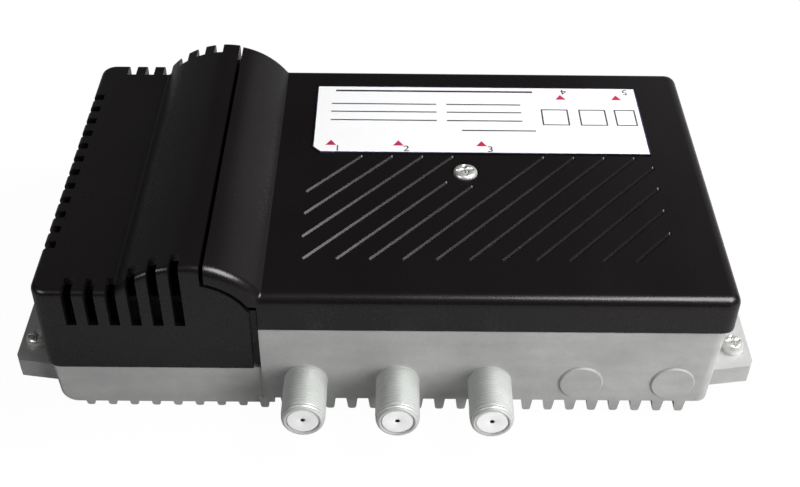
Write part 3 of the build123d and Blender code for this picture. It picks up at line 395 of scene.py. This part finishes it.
class Finish(Nodes):
    """A material under construction."""

    def __init__(self, name):
        self.material = bpy.data.materials.new(name)
        self.material.use_nodes = True
        super().__init__(self.material.node_tree)
        self.place = self.node("ShaderNodeTexCoord", output="Object")

    def noise(self, size, detail=3.0, roughness=0.55, stretch=(1.0, 1.0, 1.0)):
        """Cloudy pattern with features of the given size in metres."""
        place = self.node(
            "ShaderNodeMapping", {"vector_type": "POINT"}, {"Vector": self.place, "Scale": stretch}
        )
        sockets = {"Vector": place, "Scale": 1 / size, "Detail": detail, "Roughness": roughness}
        return self.node("ShaderNodeTexNoise", {}, sockets)

    def cells(self, size):
        """Distance to the nearest point of a scatter with the given spacing."""
        return self.node("ShaderNodeTexVoronoi", {}, {"Vector": self.place, "Scale": 1 / size})

    def ramp(self, factor, *stops):
        """Colour along a ramp."""
        return self.node("ShaderNodeValToRGB", {"stops": stops}, {"Fac": factor})

    def mix(self, factor, low, high):
        """Blend of two colours."""
        low, high = (tone if isinstance(tone, Signal) else (*tone, 1.0) for tone in (low, high))
        sockets = {0: factor, 6: low, 7: high}
        return self.node("ShaderNodeMix", {"data_type": "RGBA"}, sockets, output=2)

    def bump(self, height, depth, strength=1.0):
        """Relief of the given depth in metres."""
        sockets = {"Height": height, "Distance": depth, "Strength": strength}
        return self.node("ShaderNodeBump", {}, sockets)

    def surface(self, base, **sockets):
        """Finish the material with a Principled BSDF."""
        inputs = {"Base Color": base}
        inputs.update({name.replace("_", " "): value for name, value in sockets.items()})
        return self.finished(self.node("ShaderNodeBsdfPrincipled", {}, inputs))

    def finished(self, shader):
        """Link a shader to the material's output."""
        self.node("ShaderNodeOutputMaterial", {}, {"Surface": shader})
        return self.material


def toned(tone, factor):
    """A colour made lighter or darker."""
    return tuple(min(1.0, value * factor) for value in tone)


def cast_metal(colours):
    """Mottled skin of a die casting, with fine grain and a few pits."""
    finish = Finish("cast_metal")
    clouds = finish.noise(16 * MM, detail=6, roughness=0.62)
    flow = finish.noise(6 * MM, detail=4, stretch=(0.35, 1.0, 1.6))
    grain = finish.noise(0.6 * MM, detail=3)
    pits = finish.cells(2.1 * MM)
    light, dark = tuple(colours.casting_light), tuple(colours.casting_dark)
    middle = tuple((a + b) / 2 for a, b in zip(light, dark))
    tone = clouds * 0.55 + flow * 0.3 + grain * 0.15
    base = finish.ramp(tone, (0.34, dark), (0.5, middle), (0.64, light))
    pitted = finish.ramp(pits, (0.02, MASK_OFF), (0.11, MASK_ON))
    base = finish.mix(pitted * 0.35 + 0.65, toned(dark, 0.55), base)
    height = grain * 0.5 + flow * 0.5 + pitted * 0.6
    return finish.surface(
        base,
        Metallic=0.35,
        Roughness=0.5 + grain * 0.2,
        Normal=finish.bump(height, 0.09 * MM, 0.5),
    )


def turned_metal(colours):
    """Machined and plated barrels of the ports."""
    finish = Finish("barrel_plate")
    clouds = finish.noise(4 * MM, detail=4)
    grain = finish.noise(0.35 * MM, detail=2, stretch=(1.0, 2.4, 1.0))
    barrel = tuple(colours.barrel)
    return finish.surface(
        finish.mix(clouds * 0.6 + grain * 0.4, toned(barrel, 0.74), barrel),
        Metallic=0.45,
        Roughness=0.32 + grain * 0.2,
        Normal=finish.bump(grain, 0.03 * MM, 0.5),
    )


def cover_plastic(colours):
    """Satin black plastic with a fine spark-eroded grain and a few specks of dust."""
    finish = Finish("cover_plastic")
    grain = finish.noise(0.32 * MM, detail=2, roughness=0.6)
    clouds = finish.noise(30 * MM, detail=4)
    dust = finish.cells(5.2 * MM)
    rubbed = finish.noise(12 * MM, detail=5, stretch=(1.0, 0.25, 1.0))
    cover = tuple(colours.cover)
    base = finish.mix(clouds, toned(cover, 0.75), toned(cover, 1.4))
    specks = finish.ramp(dust, (0.0, MASK_ON), (0.022, MASK_OFF))
    return finish.surface(
        finish.mix(specks * 0.14, base, tuple(colours.dust)),
        Roughness=0.2 + rubbed * 0.1 + grain * 0.05,
        Specular_IOR_Level=0.38,
        Normal=finish.bump(grain, 0.02 * MM, 0.4),
    )


def label_film(colours):
    """White film of the label, very slightly mottled."""
    finish = Finish("label_film")
    clouds = finish.noise(12 * MM, detail=3)
    grain = finish.noise(0.4 * MM, detail=2)
    label = tuple(colours.label)
    return finish.surface(
        finish.mix(clouds, toned(label, 0.965), label),
        Roughness=0.3 + grain * 0.15,
        Normal=finish.bump(clouds, 0.06 * MM, 0.4),
    )


def ink(name, tone):
    """Printed ink with an uneven gloss."""
    finish = Finish(name)
    clouds = finish.noise(1.2 * MM, detail=3)
    base = finish.mix(clouds, toned(tone, 0.8), toned(tone, 1.25))
    return finish.surface(base, Roughness=0.35 + clouds * 0.2)


def plated(name, tone, roughness=0.26, streak=(1.0, 1.0, 5.0), metallic=1.0):
    """Bright plating with fine draw marks and slight staining."""
    finish = Finish(name)
    stain = finish.noise(3 * MM, detail=4)
    marks = finish.noise(0.4 * MM, detail=2, stretch=streak)
    return finish.surface(
        finish.mix(stain, toned(tone, 0.78), toned(tone, 1.08)),
        Metallic=metallic,
        Roughness=roughness + marks * 0.18,
        Normal=finish.bump(marks, 0.01 * MM, 0.5),
    )


def moulded(name, tone, roughness=0.42, grain_size=0.4 * MM):
    """Moulded plastic with a faint grain."""
    finish = Finish(name)
    clouds = finish.noise(6 * MM, detail=3)
    grain = finish.noise(grain_size, detail=2)
    return finish.surface(
        finish.mix(clouds, toned(tone, 0.86), toned(tone, 1.1)),
        Roughness=roughness + grain * 0.12,
        Normal=finish.bump(grain, 0.02 * MM, 0.4),
    )


def board_laminate(colours):
    """Solder resist over a woven laminate, with a raised grid of tracks."""
    finish = Finish("board_laminate")
    resist = tuple(colours.laminate)
    across = finish.noise(1.1 * MM, detail=1, stretch=(1.0, 0.12, 1.0))
    along = finish.noise(1.1 * MM, detail=1, stretch=(0.12, 1.0, 1.0))
    weave = across + along
    grid = {
        "Vector": finish.place,
        "Scale": 210.0,
        "Mortar Size": 0.035,
        "Color1": (*MASK_OFF, 1.0),
        "Color2": (*MASK_OFF, 1.0),
        "Mortar": (*MASK_ON, 1.0),
    }
    tracks = finish.node("ShaderNodeTexBrick", {"offset": 0.37}, grid)
    base = finish.mix(weave * 0.5, toned(resist, 0.8), toned(resist, 1.15))
    return finish.surface(
        finish.mix(tracks, base, toned(resist, 1.9)),
        Roughness=0.28 + weave * 0.06,
        Normal=finish.bump(tracks, 0.04 * MM, 0.6),
    )


def wound_wire(tone):
    """Enamelled wire laid in close turns."""
    finish = Finish("copper_wire")
    settings = {"wave_type": "BANDS", "bands_direction": "Z"}
    sockets = {"Vector": finish.place, "Scale": 480.0, "Distortion": 0.6, "Detail": 2.0}
    turns = finish.node("ShaderNodeTexWave", settings, sockets)
    return finish.surface(
        # The dark end of the bands is painted shade in the grooves between the turns
        finish.mix(turns, toned(tone, 0.35), tone),
        Metallic=0.7,
        Roughness=0.3,
        Coat_Weight=0.4,
        Normal=finish.bump(turns, 0.12 * MM, 0.9),
    )


def fuse_glass(tint, clear):
    """Clear glass tube with a faint tint."""
    finish = Finish("fuse_glass")
    clouds = finish.noise(4 * MM, detail=2)
    return finish.surface(
        finish.mix(clouds, tint, clear),
        Roughness=0.06,
        Alpha=0.34 + clouds * 0.08,
        Specular_IOR_Level=0.6,
    )


def node_finishes(colours):
    """Finish of every CAD node, by its material slot."""
    return {
        "cast_metal": cast_metal(colours),
        "barrel_plate": turned_metal(colours),
        "cover_plastic": cover_plastic(colours),
        "label_film": label_film(colours),
        "zinc_steel": plated("zinc_steel", tuple(colours.zinc), metallic=0.62),
        "white_plastic": moulded(
            "white_plastic", (0.97, 0.965, 0.965), roughness=0.34, grain_size=0.6 * MM
        ),
        "contact_brass": plated("contact_brass", (0.72, 0.56, 0.28)),
        "board_laminate": board_laminate(colours),
        "tinned_sheet": plated(
            "tinned_sheet", (0.66, 0.67, 0.66), roughness=0.34, streak=(1.0, 6.0, 1.0)
        ),
        "control_plastic": moulded("control_plastic", (0.03, 0.09, 0.28)),
        "rotor_plastic": moulded("rotor_plastic", (0.72, 0.62, 0.34)),
        "black_moulding": moulded("black_moulding", (0.018, 0.018, 0.019)),
        "copper_wire": wound_wire((0.62, 0.27, 0.12)),
        "can_sleeve": moulded("can_sleeve", (0.012, 0.02, 0.06), roughness=0.22),
        "ferrite": moulded(
            "ferrite", (0.035, 0.034, 0.036), roughness=0.55, grain_size=0.3 * MM
        ),
        "fuse_glass": fuse_glass((0.82, 0.88, 0.86), (0.92, 0.96, 0.95)),
        "bare_aluminium": plated(
            "bare_aluminium", (0.74, 0.75, 0.76), roughness=0.32, streak=(6.0, 1.0, 1.0)
        ),
    }


# Making and placing pieces


def finished_piece(name, mesh, body, material, replaces=()):
    """Add a mesh to the scene as a piece that moves with a body."""
    piece = bpy.data.objects.new(name, mesh)
    bpy.context.scene.collection.objects.link(piece)
    mesh.materials.clear()
    mesh.materials.append(material)
    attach(piece, body)
    if replaces:
        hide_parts(*replaces)
    return piece


def node_material(node):
    """Finish of a CAD node."""
    return frame["nodes"][node].data.materials[0]


def node_middle(node):
    """Centre of a CAD node's box."""
    low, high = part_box(node)
    return (low + high) / 2


def mesh_from(name, shape, smooth_angle=35.0):
    """Turn a bmesh into a mesh with its faces outwards and its curves smooth."""
    bmesh.ops.remove_doubles(shape, verts=shape.verts, dist=MERGE_DISTANCE)
    bmesh.ops.recalc_face_normals(shape, faces=shape.faces)
    for face in shape.faces:
        face.smooth = True
    for edge in shape.edges:
        bend = edge.calc_face_angle(0.0)
        edge.smooth = len(edge.link_faces) != 2 or bend < radians(smooth_angle)
    mesh = bpy.data.meshes.new(name)
    shape.to_mesh(mesh)
    shape.free()
    return mesh


def turn_profile(shape, profile, steps):
    """Spin a closed profile of (radius, height) places round Z."""
    ring = [shape.verts.new((radius, 0.0, height)) for radius, height in profile]
    edges = [shape.edges.new((a, b)) for a, b in zip(ring, ring[1:] + ring[:1])]
    bmesh.ops.spin(
        shape,
        geom=ring + edges,
        cent=(0, 0, 0),
        axis=(0, 0, 1),
        dvec=(0, 0, 0),
        angle=tau,
        steps=steps,
        use_merge=True,
        use_duplicate=False,
    )


def add_thread(shape, root, crest, pitch, low, high, steps):
    """Wind a helical ridge round Z between two heights."""
    turns = (high - low) / pitch - 1
    first, second, far = (low + pitch / 2 * height for height in RIDGE)
    section = ((root, low), (crest, first), (crest, second), (root, far))
    corners = [shape.verts.new((radius, 0.0, height)) for radius, height in section]
    face = shape.faces.new(corners)
    bmesh.ops.spin(
        shape,
        geom=[face, *face.edges, *corners],
        cent=(0, 0, 0),
        axis=(0, 0, 1),
        dvec=(0, 0, pitch / steps),
        angle=tau * turns,
        steps=int(steps * turns),
        use_merge=False,
        use_duplicate=False,
    )


def point_along_y(shape, place, outward):
    """Lay a shape that stands on Z along Y, forwards or backwards, and move it to its place."""
    turn = Matrix.Rotation(radians(-90 * outward), 4, "X")
    bmesh.ops.transform(shape, matrix=Matrix.Translation(place) @ turn, verts=shape.verts)


def barrel_profile(sizes, bore, crest, full):
    """Half section of a port's barrel, with a groove and a lip round its mouth."""
    wall = full - sizes.barrel
    collar = wall + sizes.collar
    nose = full - sizes.nose
    root = crest - sizes.depth
    before, after, under = NOSE_STEP
    return [
        (bore, 0.0),
        (sizes.spigot, 0.0),
        (sizes.spigot, wall),
        (crest, wall),
        (crest, collar - COLLAR_CHAMFER),
        (root, collar),
        (root, nose - before),
        (crest - under, nose + after),
        *((crest - drop * MM, full - behind * MM) for drop, behind in MOUTH),
        *((bore + away * MM, full - behind * MM) for away, behind in BORE_EDGE),
    ]


def insulator_profile(sizes, bore, face):
    """Half section of an insulator, with a gap round its face and a hollow round its hole."""
    edge = bore - sizes.gap
    rim = edge - sizes.rim
    start = sizes.hole * HOLLOW_START
    bottom = face - sizes.dish
    profile = [
        (sizes.contact, 0.0),
        (bore, 0.0),
        (bore, face - sizes.gap_depth),
        (edge, face - sizes.gap_depth),
        (edge, face - FACE_CHAMFER),
        (edge - FACE_CHAMFER, face),
        (rim, face),
    ]
    for step in range(1, HOLLOW_STEPS):
        way = step / HOLLOW_STEPS
        fall = sizes.dish * HOLLOW_SHARE * way**HOLLOW_CURVE
        profile.append((rim + (start - rim) * way, face - fall))
    profile += [(sizes.hole * reach, bottom + rise * MM) for reach, rise in HOLE_LIP]
    profile.append((sizes.contact, profile[-1][1]))
    return profile


class OBJECT_OT_amplifier_finishes(bpy.types.Operator):
    """Give every CAD node the finish of its material slot"""

    bl_idname = "object.amplifier_finishes"
    bl_label = "Finishes"

    def execute(self, context):
        finishes = node_finishes(context.scene.amplifier_colours)
        slots = {part["node"]: part["material_slot"] for part in frame["record"]["subparts"]}
        for name, node in frame["nodes"].items():
            node.data.materials.clear()
            node.data.materials.append(finishes[slots[name]])
        return {"FINISHED"}


class OBJECT_OT_amplifier_ports(bpy.types.Operator):
    """Model the threaded barrels of the ports and the faces of their insulators"""

    bl_idname = "object.amplifier_ports"
    bl_label = "Ports"

    def execute(self, context):
        sizes = context.scene.amplifier_thread
        for number in PORTS:
            node = f"port_barrel_{number}"
            low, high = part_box(node)
            seat_low, seat_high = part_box(f"port_insulator_{number}")
            centre = (low + high) / 2
            outward = -1 if centre.y < 0 else 1
            crest = (high.x - low.x) / 2
            bore = (seat_high.x - seat_low.x) / 2
            full = high.y - low.y

            # Barrel with its thread
            shape = bmesh.new()
            turn_profile(shape, barrel_profile(sizes, bore, crest, full), PORT_STEPS)
            foot = crest - sizes.depth - RIDGE_SUNK
            start = full - sizes.barrel + sizes.collar - RUN_OUT
            end = full - sizes.nose + RUN_OUT
            add_thread(shape, foot, crest, sizes.pitch, start, end, sizes.steps)
            inner_end = low.y if outward > 0 else high.y
            point_along_y(shape, (centre.x, inner_end, centre.z), outward)
            name = f"port_thread_{number}"
            mesh = mesh_from(name, shape, smooth_angle=40.0)
            finished_piece(name, mesh, "base", node_material(node), [node])

            # Insulator
            shape = bmesh.new()
            profile = insulator_profile(sizes, bore, seat_high.y - seat_low.y)
            turn_profile(shape, profile, PORT_STEPS)
            inner_end = seat_low.y if outward > 0 else seat_high.y
            point_along_y(shape, (centre.x, inner_end, centre.z), outward)
            name = f"port_dish_{number}"
            mesh = mesh_from(name, shape, smooth_angle=40.0)
            node = f"port_insulator_{number}"
            finished_piece(name, mesh, "base", node_material(node), [node])
        return {"FINISHED"}


def screw_mesh(name, seat, head_radius, head_height, shank_radius, shank_length, sizes):
    """Pan-head screw with a cross recess and a threaded shank, pointing down from its seat."""
    wall = head_height * (1 - sizes.dome_share)
    dome = head_height - wall
    core = shank_radius * CORE_SHARE
    profile = [
        (0.0, -shank_length),
        (shank_radius * TIP_SHARE, -shank_length),
        (core, -shank_length + TAPER_LENGTH),
        (core, 0.0),
        (head_radius, 0.0),
        (head_radius, wall),
    ]
    for step in range(1, DOME_STEPS + 1):
        rise = step / DOME_STEPS * pi / 2
        radius = head_radius * (1 - DOME_DRAW * (1 - cos(rise)))
        profile.append((radius, wall + dome * sin(rise)))
    profile.append((0.0, head_height))
    shape = bmesh.new()
    turn_profile(shape, profile, HEAD_STEPS)
    foot = shank_radius * FOOT_SHARE
    start = -shank_length + PLAIN_TIP
    add_thread(
        shape, foot, shank_radius, sizes.pitch, start, -PLAIN_NECK, SCREW_THREAD_STEPS
    )
    bmesh.ops.transform(shape, matrix=Matrix.Translation(seat), verts=shape.verts)
    body = bpy.data.objects.new(name, mesh_from(name, shape))

    cross = bmesh.new()
    reach = head_radius * sizes.recess_share
    width = head_radius * sizes.wing_share
    depth = head_height * CROSS_HEIGHT - sizes.floor
    wing = Matrix.Diagonal((2 * reach, width, depth, 1.0))
    for turned in (0.0, 90.0):
        turn = Matrix.Rotation(radians(turned), 4, "Z")
        bmesh.ops.create_cube(cross, size=1.0, matrix=turn @ wing)
    for vert in cross.verts:
        if vert.co.z < 0:
            vert.co.x *= CROSS_TAPER
            vert.co.y *= CROSS_TAPER
    place = Matrix.Translation(Vector(seat) + Vector((0.0, 0.0, sizes.floor + depth / 2)))
    turn = Matrix.Rotation(sizes.turned, 4, "Z")
    bmesh.ops.transform(cross, matrix=place @ turn, verts=cross.verts)
    cutter = bpy.data.objects.new(name + "_cross", mesh_from(name + "_cross", cross))

    for piece in (body, cutter):
        bpy.context.scene.collection.objects.link(piece)
    carve = body.modifiers.new("carve", "BOOLEAN")
    carve.operation = "DIFFERENCE"
    carve.solver = "EXACT"
    carve.use_self = True
    carve.object = cutter
    graph = bpy.context.evaluated_depsgraph_get()
    carved = bpy.data.meshes.new_from_object(body.evaluated_get(graph))
    carved.name = name
    bpy.data.objects.remove(body)
    bpy.data.objects.remove(cutter)
    return carved


class OBJECT_OT_amplifier_screws(bpy.types.Operator):
    """Model the heads and threads of the screws that show"""

    bl_idname = "object.amplifier_screws"
    bl_label = "Screws"

    def execute(self, context):
        sizes = context.scene.amplifier_screws
        zinc = node_material("cover_screw")
        low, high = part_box("cover_screw")
        seat = high.z - sizes.cover_seat
        mesh = screw_mesh(
            "cover_screw_turned",
            ((low.x + high.x) / 2, (low.y + high.y) / 2, seat),
            (high.x - low.x) / 2,
            sizes.cover_head,
            sizes.cover_shank,
            seat - low.z,
            sizes,
        )
        finished_piece("cover_screw_turned", mesh, "lid_screw", zinc, ["cover_screw"])

        low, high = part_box("lug_screws")
        radius = sizes.lug_reach
        seat = high.z - sizes.lug_head
        for side, x in (("left", low.x + radius), ("right", high.x - radius)):
            mesh = screw_mesh(
                f"lug_screw_{side}",
                (x, (low.y + high.y) / 2, seat),
                radius,
                sizes.lug_head,
                sizes.lug_shank,
                seat - low.z,
                sizes,
            )
            piece = finished_piece(f"lug_screw_{side}", mesh, "base", zinc)
        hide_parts("lug_screws")
        return {"FINISHED"}


def ink_mesh(name, outlines, top, thickness):
    """Thin printed shapes, from closed outlines of (x, y) places."""
    shape = bmesh.new()
    for outline in outlines:
        face = shape.faces.new([shape.verts.new((x, y, top)) for x, y in outline])
        lifted = bmesh.ops.extrude_face_region(shape, geom=[face])
        corners = [item for item in lifted["geom"] if isinstance(item, bmesh.types.BMVert)]
        bmesh.ops.translate(shape, verts=corners, vec=(0, 0, thickness))
    return mesh_from(name, shape, smooth_angle=20.0)


def box_outline(x_low, y_low, x_high, y_high):
    """Outline of an upright rectangle."""
    return [(x_low, y_low), (x_high, y_low), (x_high, y_high), (x_low, y_high)]


def bar(x_low, x_high, y, width):
    """Outline of a ruled line."""
    return box_outline(x_low, y - width / 2, x_high, y + width / 2)


def frame_bars(x_low, y_low, x_high, y_high, width):
    """Outlines of the four bars of a rectangular frame."""
    return [
        bar(x_low, x_high, y_low + width / 2, width),
        bar(x_low, x_high, y_high - width / 2, width),
        box_outline(x_low, y_low + width, x_low + width, y_high - width),
        box_outline(x_high - width, y_low + width, x_high, y_high - width),
    ]


def film_outline(low, high, corner, inset):
    """Outline of the label's film, with its front left corner cut off, moved inwards."""
    cut = corner + inset * CORNER_SHIFT
    return [
        (low.x + cut, low.y + inset),
        (high.x - inset, low.y + inset),
        (high.x - inset, high.y - inset),
        (low.x + inset, high.y - inset),
        (low.x + inset, low.y + cut),
    ]


def tick(centre, angle, inner, outer, width):
    """Outline of a short mark that points away from a centre."""
    ahead = Vector((cos(angle), sin(angle)))
    aside = Vector((-ahead.y, ahead.x)) * width / 2
    start, end = centre.xy + ahead * inner, centre.xy + ahead * outer
    return [start - aside, end - aside, end + aside, start + aside]


def digit_mesh(text, place, height, turned, thickness):
    """One number as a thin mesh, upright or turned half round."""
    curve = bpy.data.curves.new("digit", "FONT")
    curve.body = text
    curve.size = height * FONT_SIZE
    curve.align_x = "CENTER"
    curve.align_y = "CENTER"
    curve.extrude = thickness / 2
    holder = bpy.data.objects.new("digit", curve)
    bpy.context.scene.collection.objects.link(holder)
    graph = bpy.context.evaluated_depsgraph_get()
    mesh = bpy.data.meshes.new_from_object(holder.evaluated_get(graph))
    bpy.data.objects.remove(holder)
    lift = Matrix.Translation(Vector(place) + Vector((0.0, 0.0, thickness / 2)))
    mesh.transform(lift @ Matrix.Rotation(pi if turned else 0.0, 4, "Z"))
    return mesh


class OBJECT_OT_amplifier_print(bpy.types.Operator):
    """Print the label with plain numbers, arrow heads and ruled lines"""

    bl_idname = "object.amplifier_print"
    bl_label = "Label print"

    def execute(self, context):
        sizes = context.scene.amplifier_print
        low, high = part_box("rating_label")
        top = high.z
        thick = sizes.ink
        black = ink("print_ink", tuple(sizes.ink_colour))
        red = ink("arrow_ink", tuple(sizes.arrow_colour))
        edge = ink("edge_ink", tuple(sizes.edge_colour))

        # Dark edge round the film
        outer = film_outline(low, high, sizes.corner, -sizes.overhang)
        inner = film_outline(low, high, sizes.corner, sizes.edge)
        strips = list(zip(outer, outer[1:] + outer[:1], inner[1:] + inner[:1], inner))
        mesh = ink_mesh("label_edge", strips, low.z, top + thick - low.z)
        finished_piece("label_edge", mesh, "lid", edge)

        # Arrow heads at the ports
        half = sizes.arrow / 2
        tall = half * ARROW_TALL
        heads = []
        for number, aside in zip(PORTS, ARROW_SHIFTS):
            x = node_middle(f"port_barrel_{number}").x + aside * MM
            y = sizes.front_arrows if number in INPUTS else sizes.rear_arrows
            heads.append([(x - half, y - tall), (x + half, y - tall), (x, y + tall)])
        finished_piece("label_arrows", ink_mesh("label_arrows", heads, top, thick), "lid", red)

        # Ruled lines and empty frames
        rule = sizes.rule
        lines = [
            bar(start * MM, end * MM, row * MM, rule * weight)
            for start, end, row, weight in RULED_LINES
        ]
        y_low, y_high = (height * MM for height in FRAME_HEIGHTS)
        for x, width in EMPTY_FRAMES:
            lines += frame_bars(x * MM, y_low, (x + width) * MM, y_high, rule * FRAME_WEIGHT)
        finished_piece("label_rules", ink_mesh("label_rules", lines, top, thick), "lid", black)

        # Numbers of the ports
        for number, aside in zip(PORTS, NUMBER_SHIFTS):
            x = node_middle(f"port_barrel_{number}").x + aside * MM
            front = number in INPUTS
            y = sizes.front_digits if front else sizes.rear_digits
            mesh = digit_mesh(str(number), (x, y, top), sizes.digit, not front, thick)
            finished_piece(f"label_number_{number}", mesh, "lid", black)
        return {"FINISHED"}


class OBJECT_OT_amplifier_scales(bpy.types.Operator):
    """Mark the shield plate with the numbers and scales of the gain controls"""

    bl_idname = "object.amplifier_scales"
    bl_label = "Scales of the gain controls"

    def execute(self, context):
        sizes = context.scene.amplifier_print
        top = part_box("shield_plate")[1].z
        black = ink("scale_ink", tuple(sizes.ink_colour))
        last = sizes.ticks - 1
        marks = []
        for number in INPUTS:
            centre = node_middle(f"gain_rotor_{number}")
            for step in range(sizes.ticks):
                turned = pi / 2 + sizes.sweep * (step / last - 0.5)
                reach = sizes.tick_end if step in (0, last) else sizes.tick_end - SHORT_MARK
                marks.append(tick(centre, turned, sizes.tick_start, reach, sizes.rule))
            place = (centre.x, centre.y - sizes.tick_end - NUMBER_GAP, top)
            mesh = digit_mesh(str(number), place, sizes.digit * NUMBER_SIZE, False, sizes.ink)
            finished_piece(f"shield_number_{number}", mesh, "base", black)
        mesh = ink_mesh("shield_scales", marks, top, sizes.ink)
        finished_piece("shield_scales", mesh, "base", black)
        return {"FINISHED"}


class OBJECT_OT_amplifier_stage(bpy.types.Operator):
    """Set up the floor, the surroundings, the lamps and the camera"""

    bl_idname = "object.amplifier_stage"
    bl_label = "Stage"

    def execute(self, context):
        context.scene.view_settings.view_transform = "Standard"
        self.lay_floor(context.scene)
        self.set_surroundings(context.scene)
        self.hang_lamps(context.scene)
        self.place_camera(context.scene)
        return {"FINISHED"}

    def lay_floor(self, scene):
        """Add a floor that shows white and keeps a soft shadow."""
        shape = bmesh.new()
        bmesh.ops.create_grid(shape, x_segments=1, y_segments=1, size=FLOOR_REACH)
        floor = bpy.data.objects.new("floor", mesh_from("floor", shape))
        scene.collection.objects.link(floor)
        finish = Finish("floor")
        camera, gloss, through = finish.rays()
        seen = camera * FLOOR_SEEN + gloss * FLOOR_MIRRORED + through * FLOOR_SEEN
        matt = finish.node("ShaderNodeBsdfDiffuse", {}, {"Color": FLOOR_TONE})
        glow = {"Color": WHITE, "Strength": FLOOR_GLOW}
        white = finish.node("ShaderNodeEmission", {}, glow)
        shader = finish.node("ShaderNodeMixShader", {}, {0: seen, 1: matt, 2: white})
        floor.data.materials.append(finish.finished(shader))

    def set_surroundings(self, scene):
        """Make the world white to the camera and soft grey as light."""
        levels = scene.amplifier_studio
        world = bpy.data.worlds.new("studio")
        scene.world = world
        world.use_nodes = True
        nodes = Nodes(world.node_tree)
        camera, gloss, through = nodes.rays()
        ends = {
            "Value": gloss,
            "To Min": levels.surroundings,
            "To Max": levels.surroundings * levels.mirrored,
        }
        level = nodes.node("ShaderNodeMapRange", {}, ends)
        soft = nodes.node("ShaderNodeBackground", {}, {"Color": WHITE, "Strength": level})
        bright = nodes.node("ShaderNodeBackground", {}, {"Color": WHITE})
        mixed = nodes.node("ShaderNodeMixShader", {}, {0: camera + through, 1: soft, 2: bright})
        nodes.node("ShaderNodeOutputWorld", {}, {"Surface": mixed})

    def hang_lamps(self, scene):
        """Add the lamps and the panels that show in gloss only, all aimed at the object."""
        for name, place, size, matt, gloss in LAMPS:
            lamp = bpy.data.lights.new(name, "AREA")
            lamp.energy = getattr(scene.amplifier_studio, name)
            lamp.size = size
            holder = bpy.data.objects.new(name, lamp)
            holder.location = place
            holder.visible_camera = False
            holder.visible_diffuse = matt
            holder.visible_glossy = gloss
            aim = LAMPS_AIM - Vector(place)
            holder.rotation_euler = aim.to_track_quat("-Z", "Y").to_euler()
            scene.collection.objects.link(holder)

    def place_camera(self, scene):
        """Add the camera that was fitted to the photograph."""
        yaw, pitch, roll = radians(CAMERA_YAW), radians(CAMERA_PITCH), radians(CAMERA_ROLL)
        ahead = Vector((sin(yaw) * cos(pitch), cos(yaw) * cos(pitch), -sin(pitch)))
        level = Vector((cos(yaw), -sin(yaw), 0.0))
        above = level.cross(ahead)
        right = cos(roll) * level + sin(roll) * above
        up = cos(roll) * above - sin(roll) * level
        lens = bpy.data.cameras.new("camera")
        lens.sensor_width = CAMERA_SENSOR
        lens.lens = CAMERA_LENS
        lens.shift_x, lens.shift_y = CAMERA_SHIFT
        lens.clip_start = CAMERA_NEAR
        camera = bpy.data.objects.new("camera", lens)
        turn = Matrix((right, up, -ahead)).transposed().to_4x4()
        camera.matrix_world = Matrix.Translation(CAMERA_PLACE) @ turn
        scene.collection.objects.link(camera)
        scene.camera = camera


STEPS = (
    OBJECT_OT_amplifier_finishes,
    OBJECT_OT_amplifier_ports,
    OBJECT_OT_amplifier_screws,
    OBJECT_OT_amplifier_print,
    OBJECT_OT_amplifier_scales,
    OBJECT_OT_amplifier_stage,
)


class VIEW3D_PT_amplifier(bpy.types.Panel):
    """Steps and sizes of the amplifier's dressing"""

    bl_idname = "VIEW3D_PT_amplifier"
    bl_label = "Amplifier"
    bl_space_type = "VIEW_3D"
    bl_region_type = "UI"
    bl_category = "Amplifier"

    def draw(self, context):
        for step in STEPS:
            self.layout.operator(step.bl_idname)
        for name, group in GROUPS.items():
            sizes = getattr(context.scene, name)
            column = self.layout.column(heading=group.__doc__)
            for field in group.__annotations__:
                column.prop(sizes, field)


def register():
    """Register the groups of sizes, the steps and the panel."""
    for group in GROUPS.values():
        bpy.utils.register_class(group)
    for name, group in GROUPS.items():
        setattr(bpy.types.Scene, name, PointerProperty(type=group))
    for step in (*STEPS, VIEW3D_PT_amplifier):
        bpy.utils.register_class(step)


def unregister():
    """Take back what register added."""
    for step in reversed((*STEPS, VIEW3D_PT_amplifier)):
        bpy.utils.unregister_class(step)
    for name in GROUPS:
        delattr(bpy.types.Scene, name)
    for group in GROUPS.values():
        bpy.utils.unregister_class(group)


def main():
    """Run every step, then write the boxes of the CAD model and of the dressed model."""
    register()
    for step in STEPS:
        group, name = step.bl_idname.split(".")
        getattr(getattr(bpy.ops, group), name)()


if __name__ == "__main__":
    main()
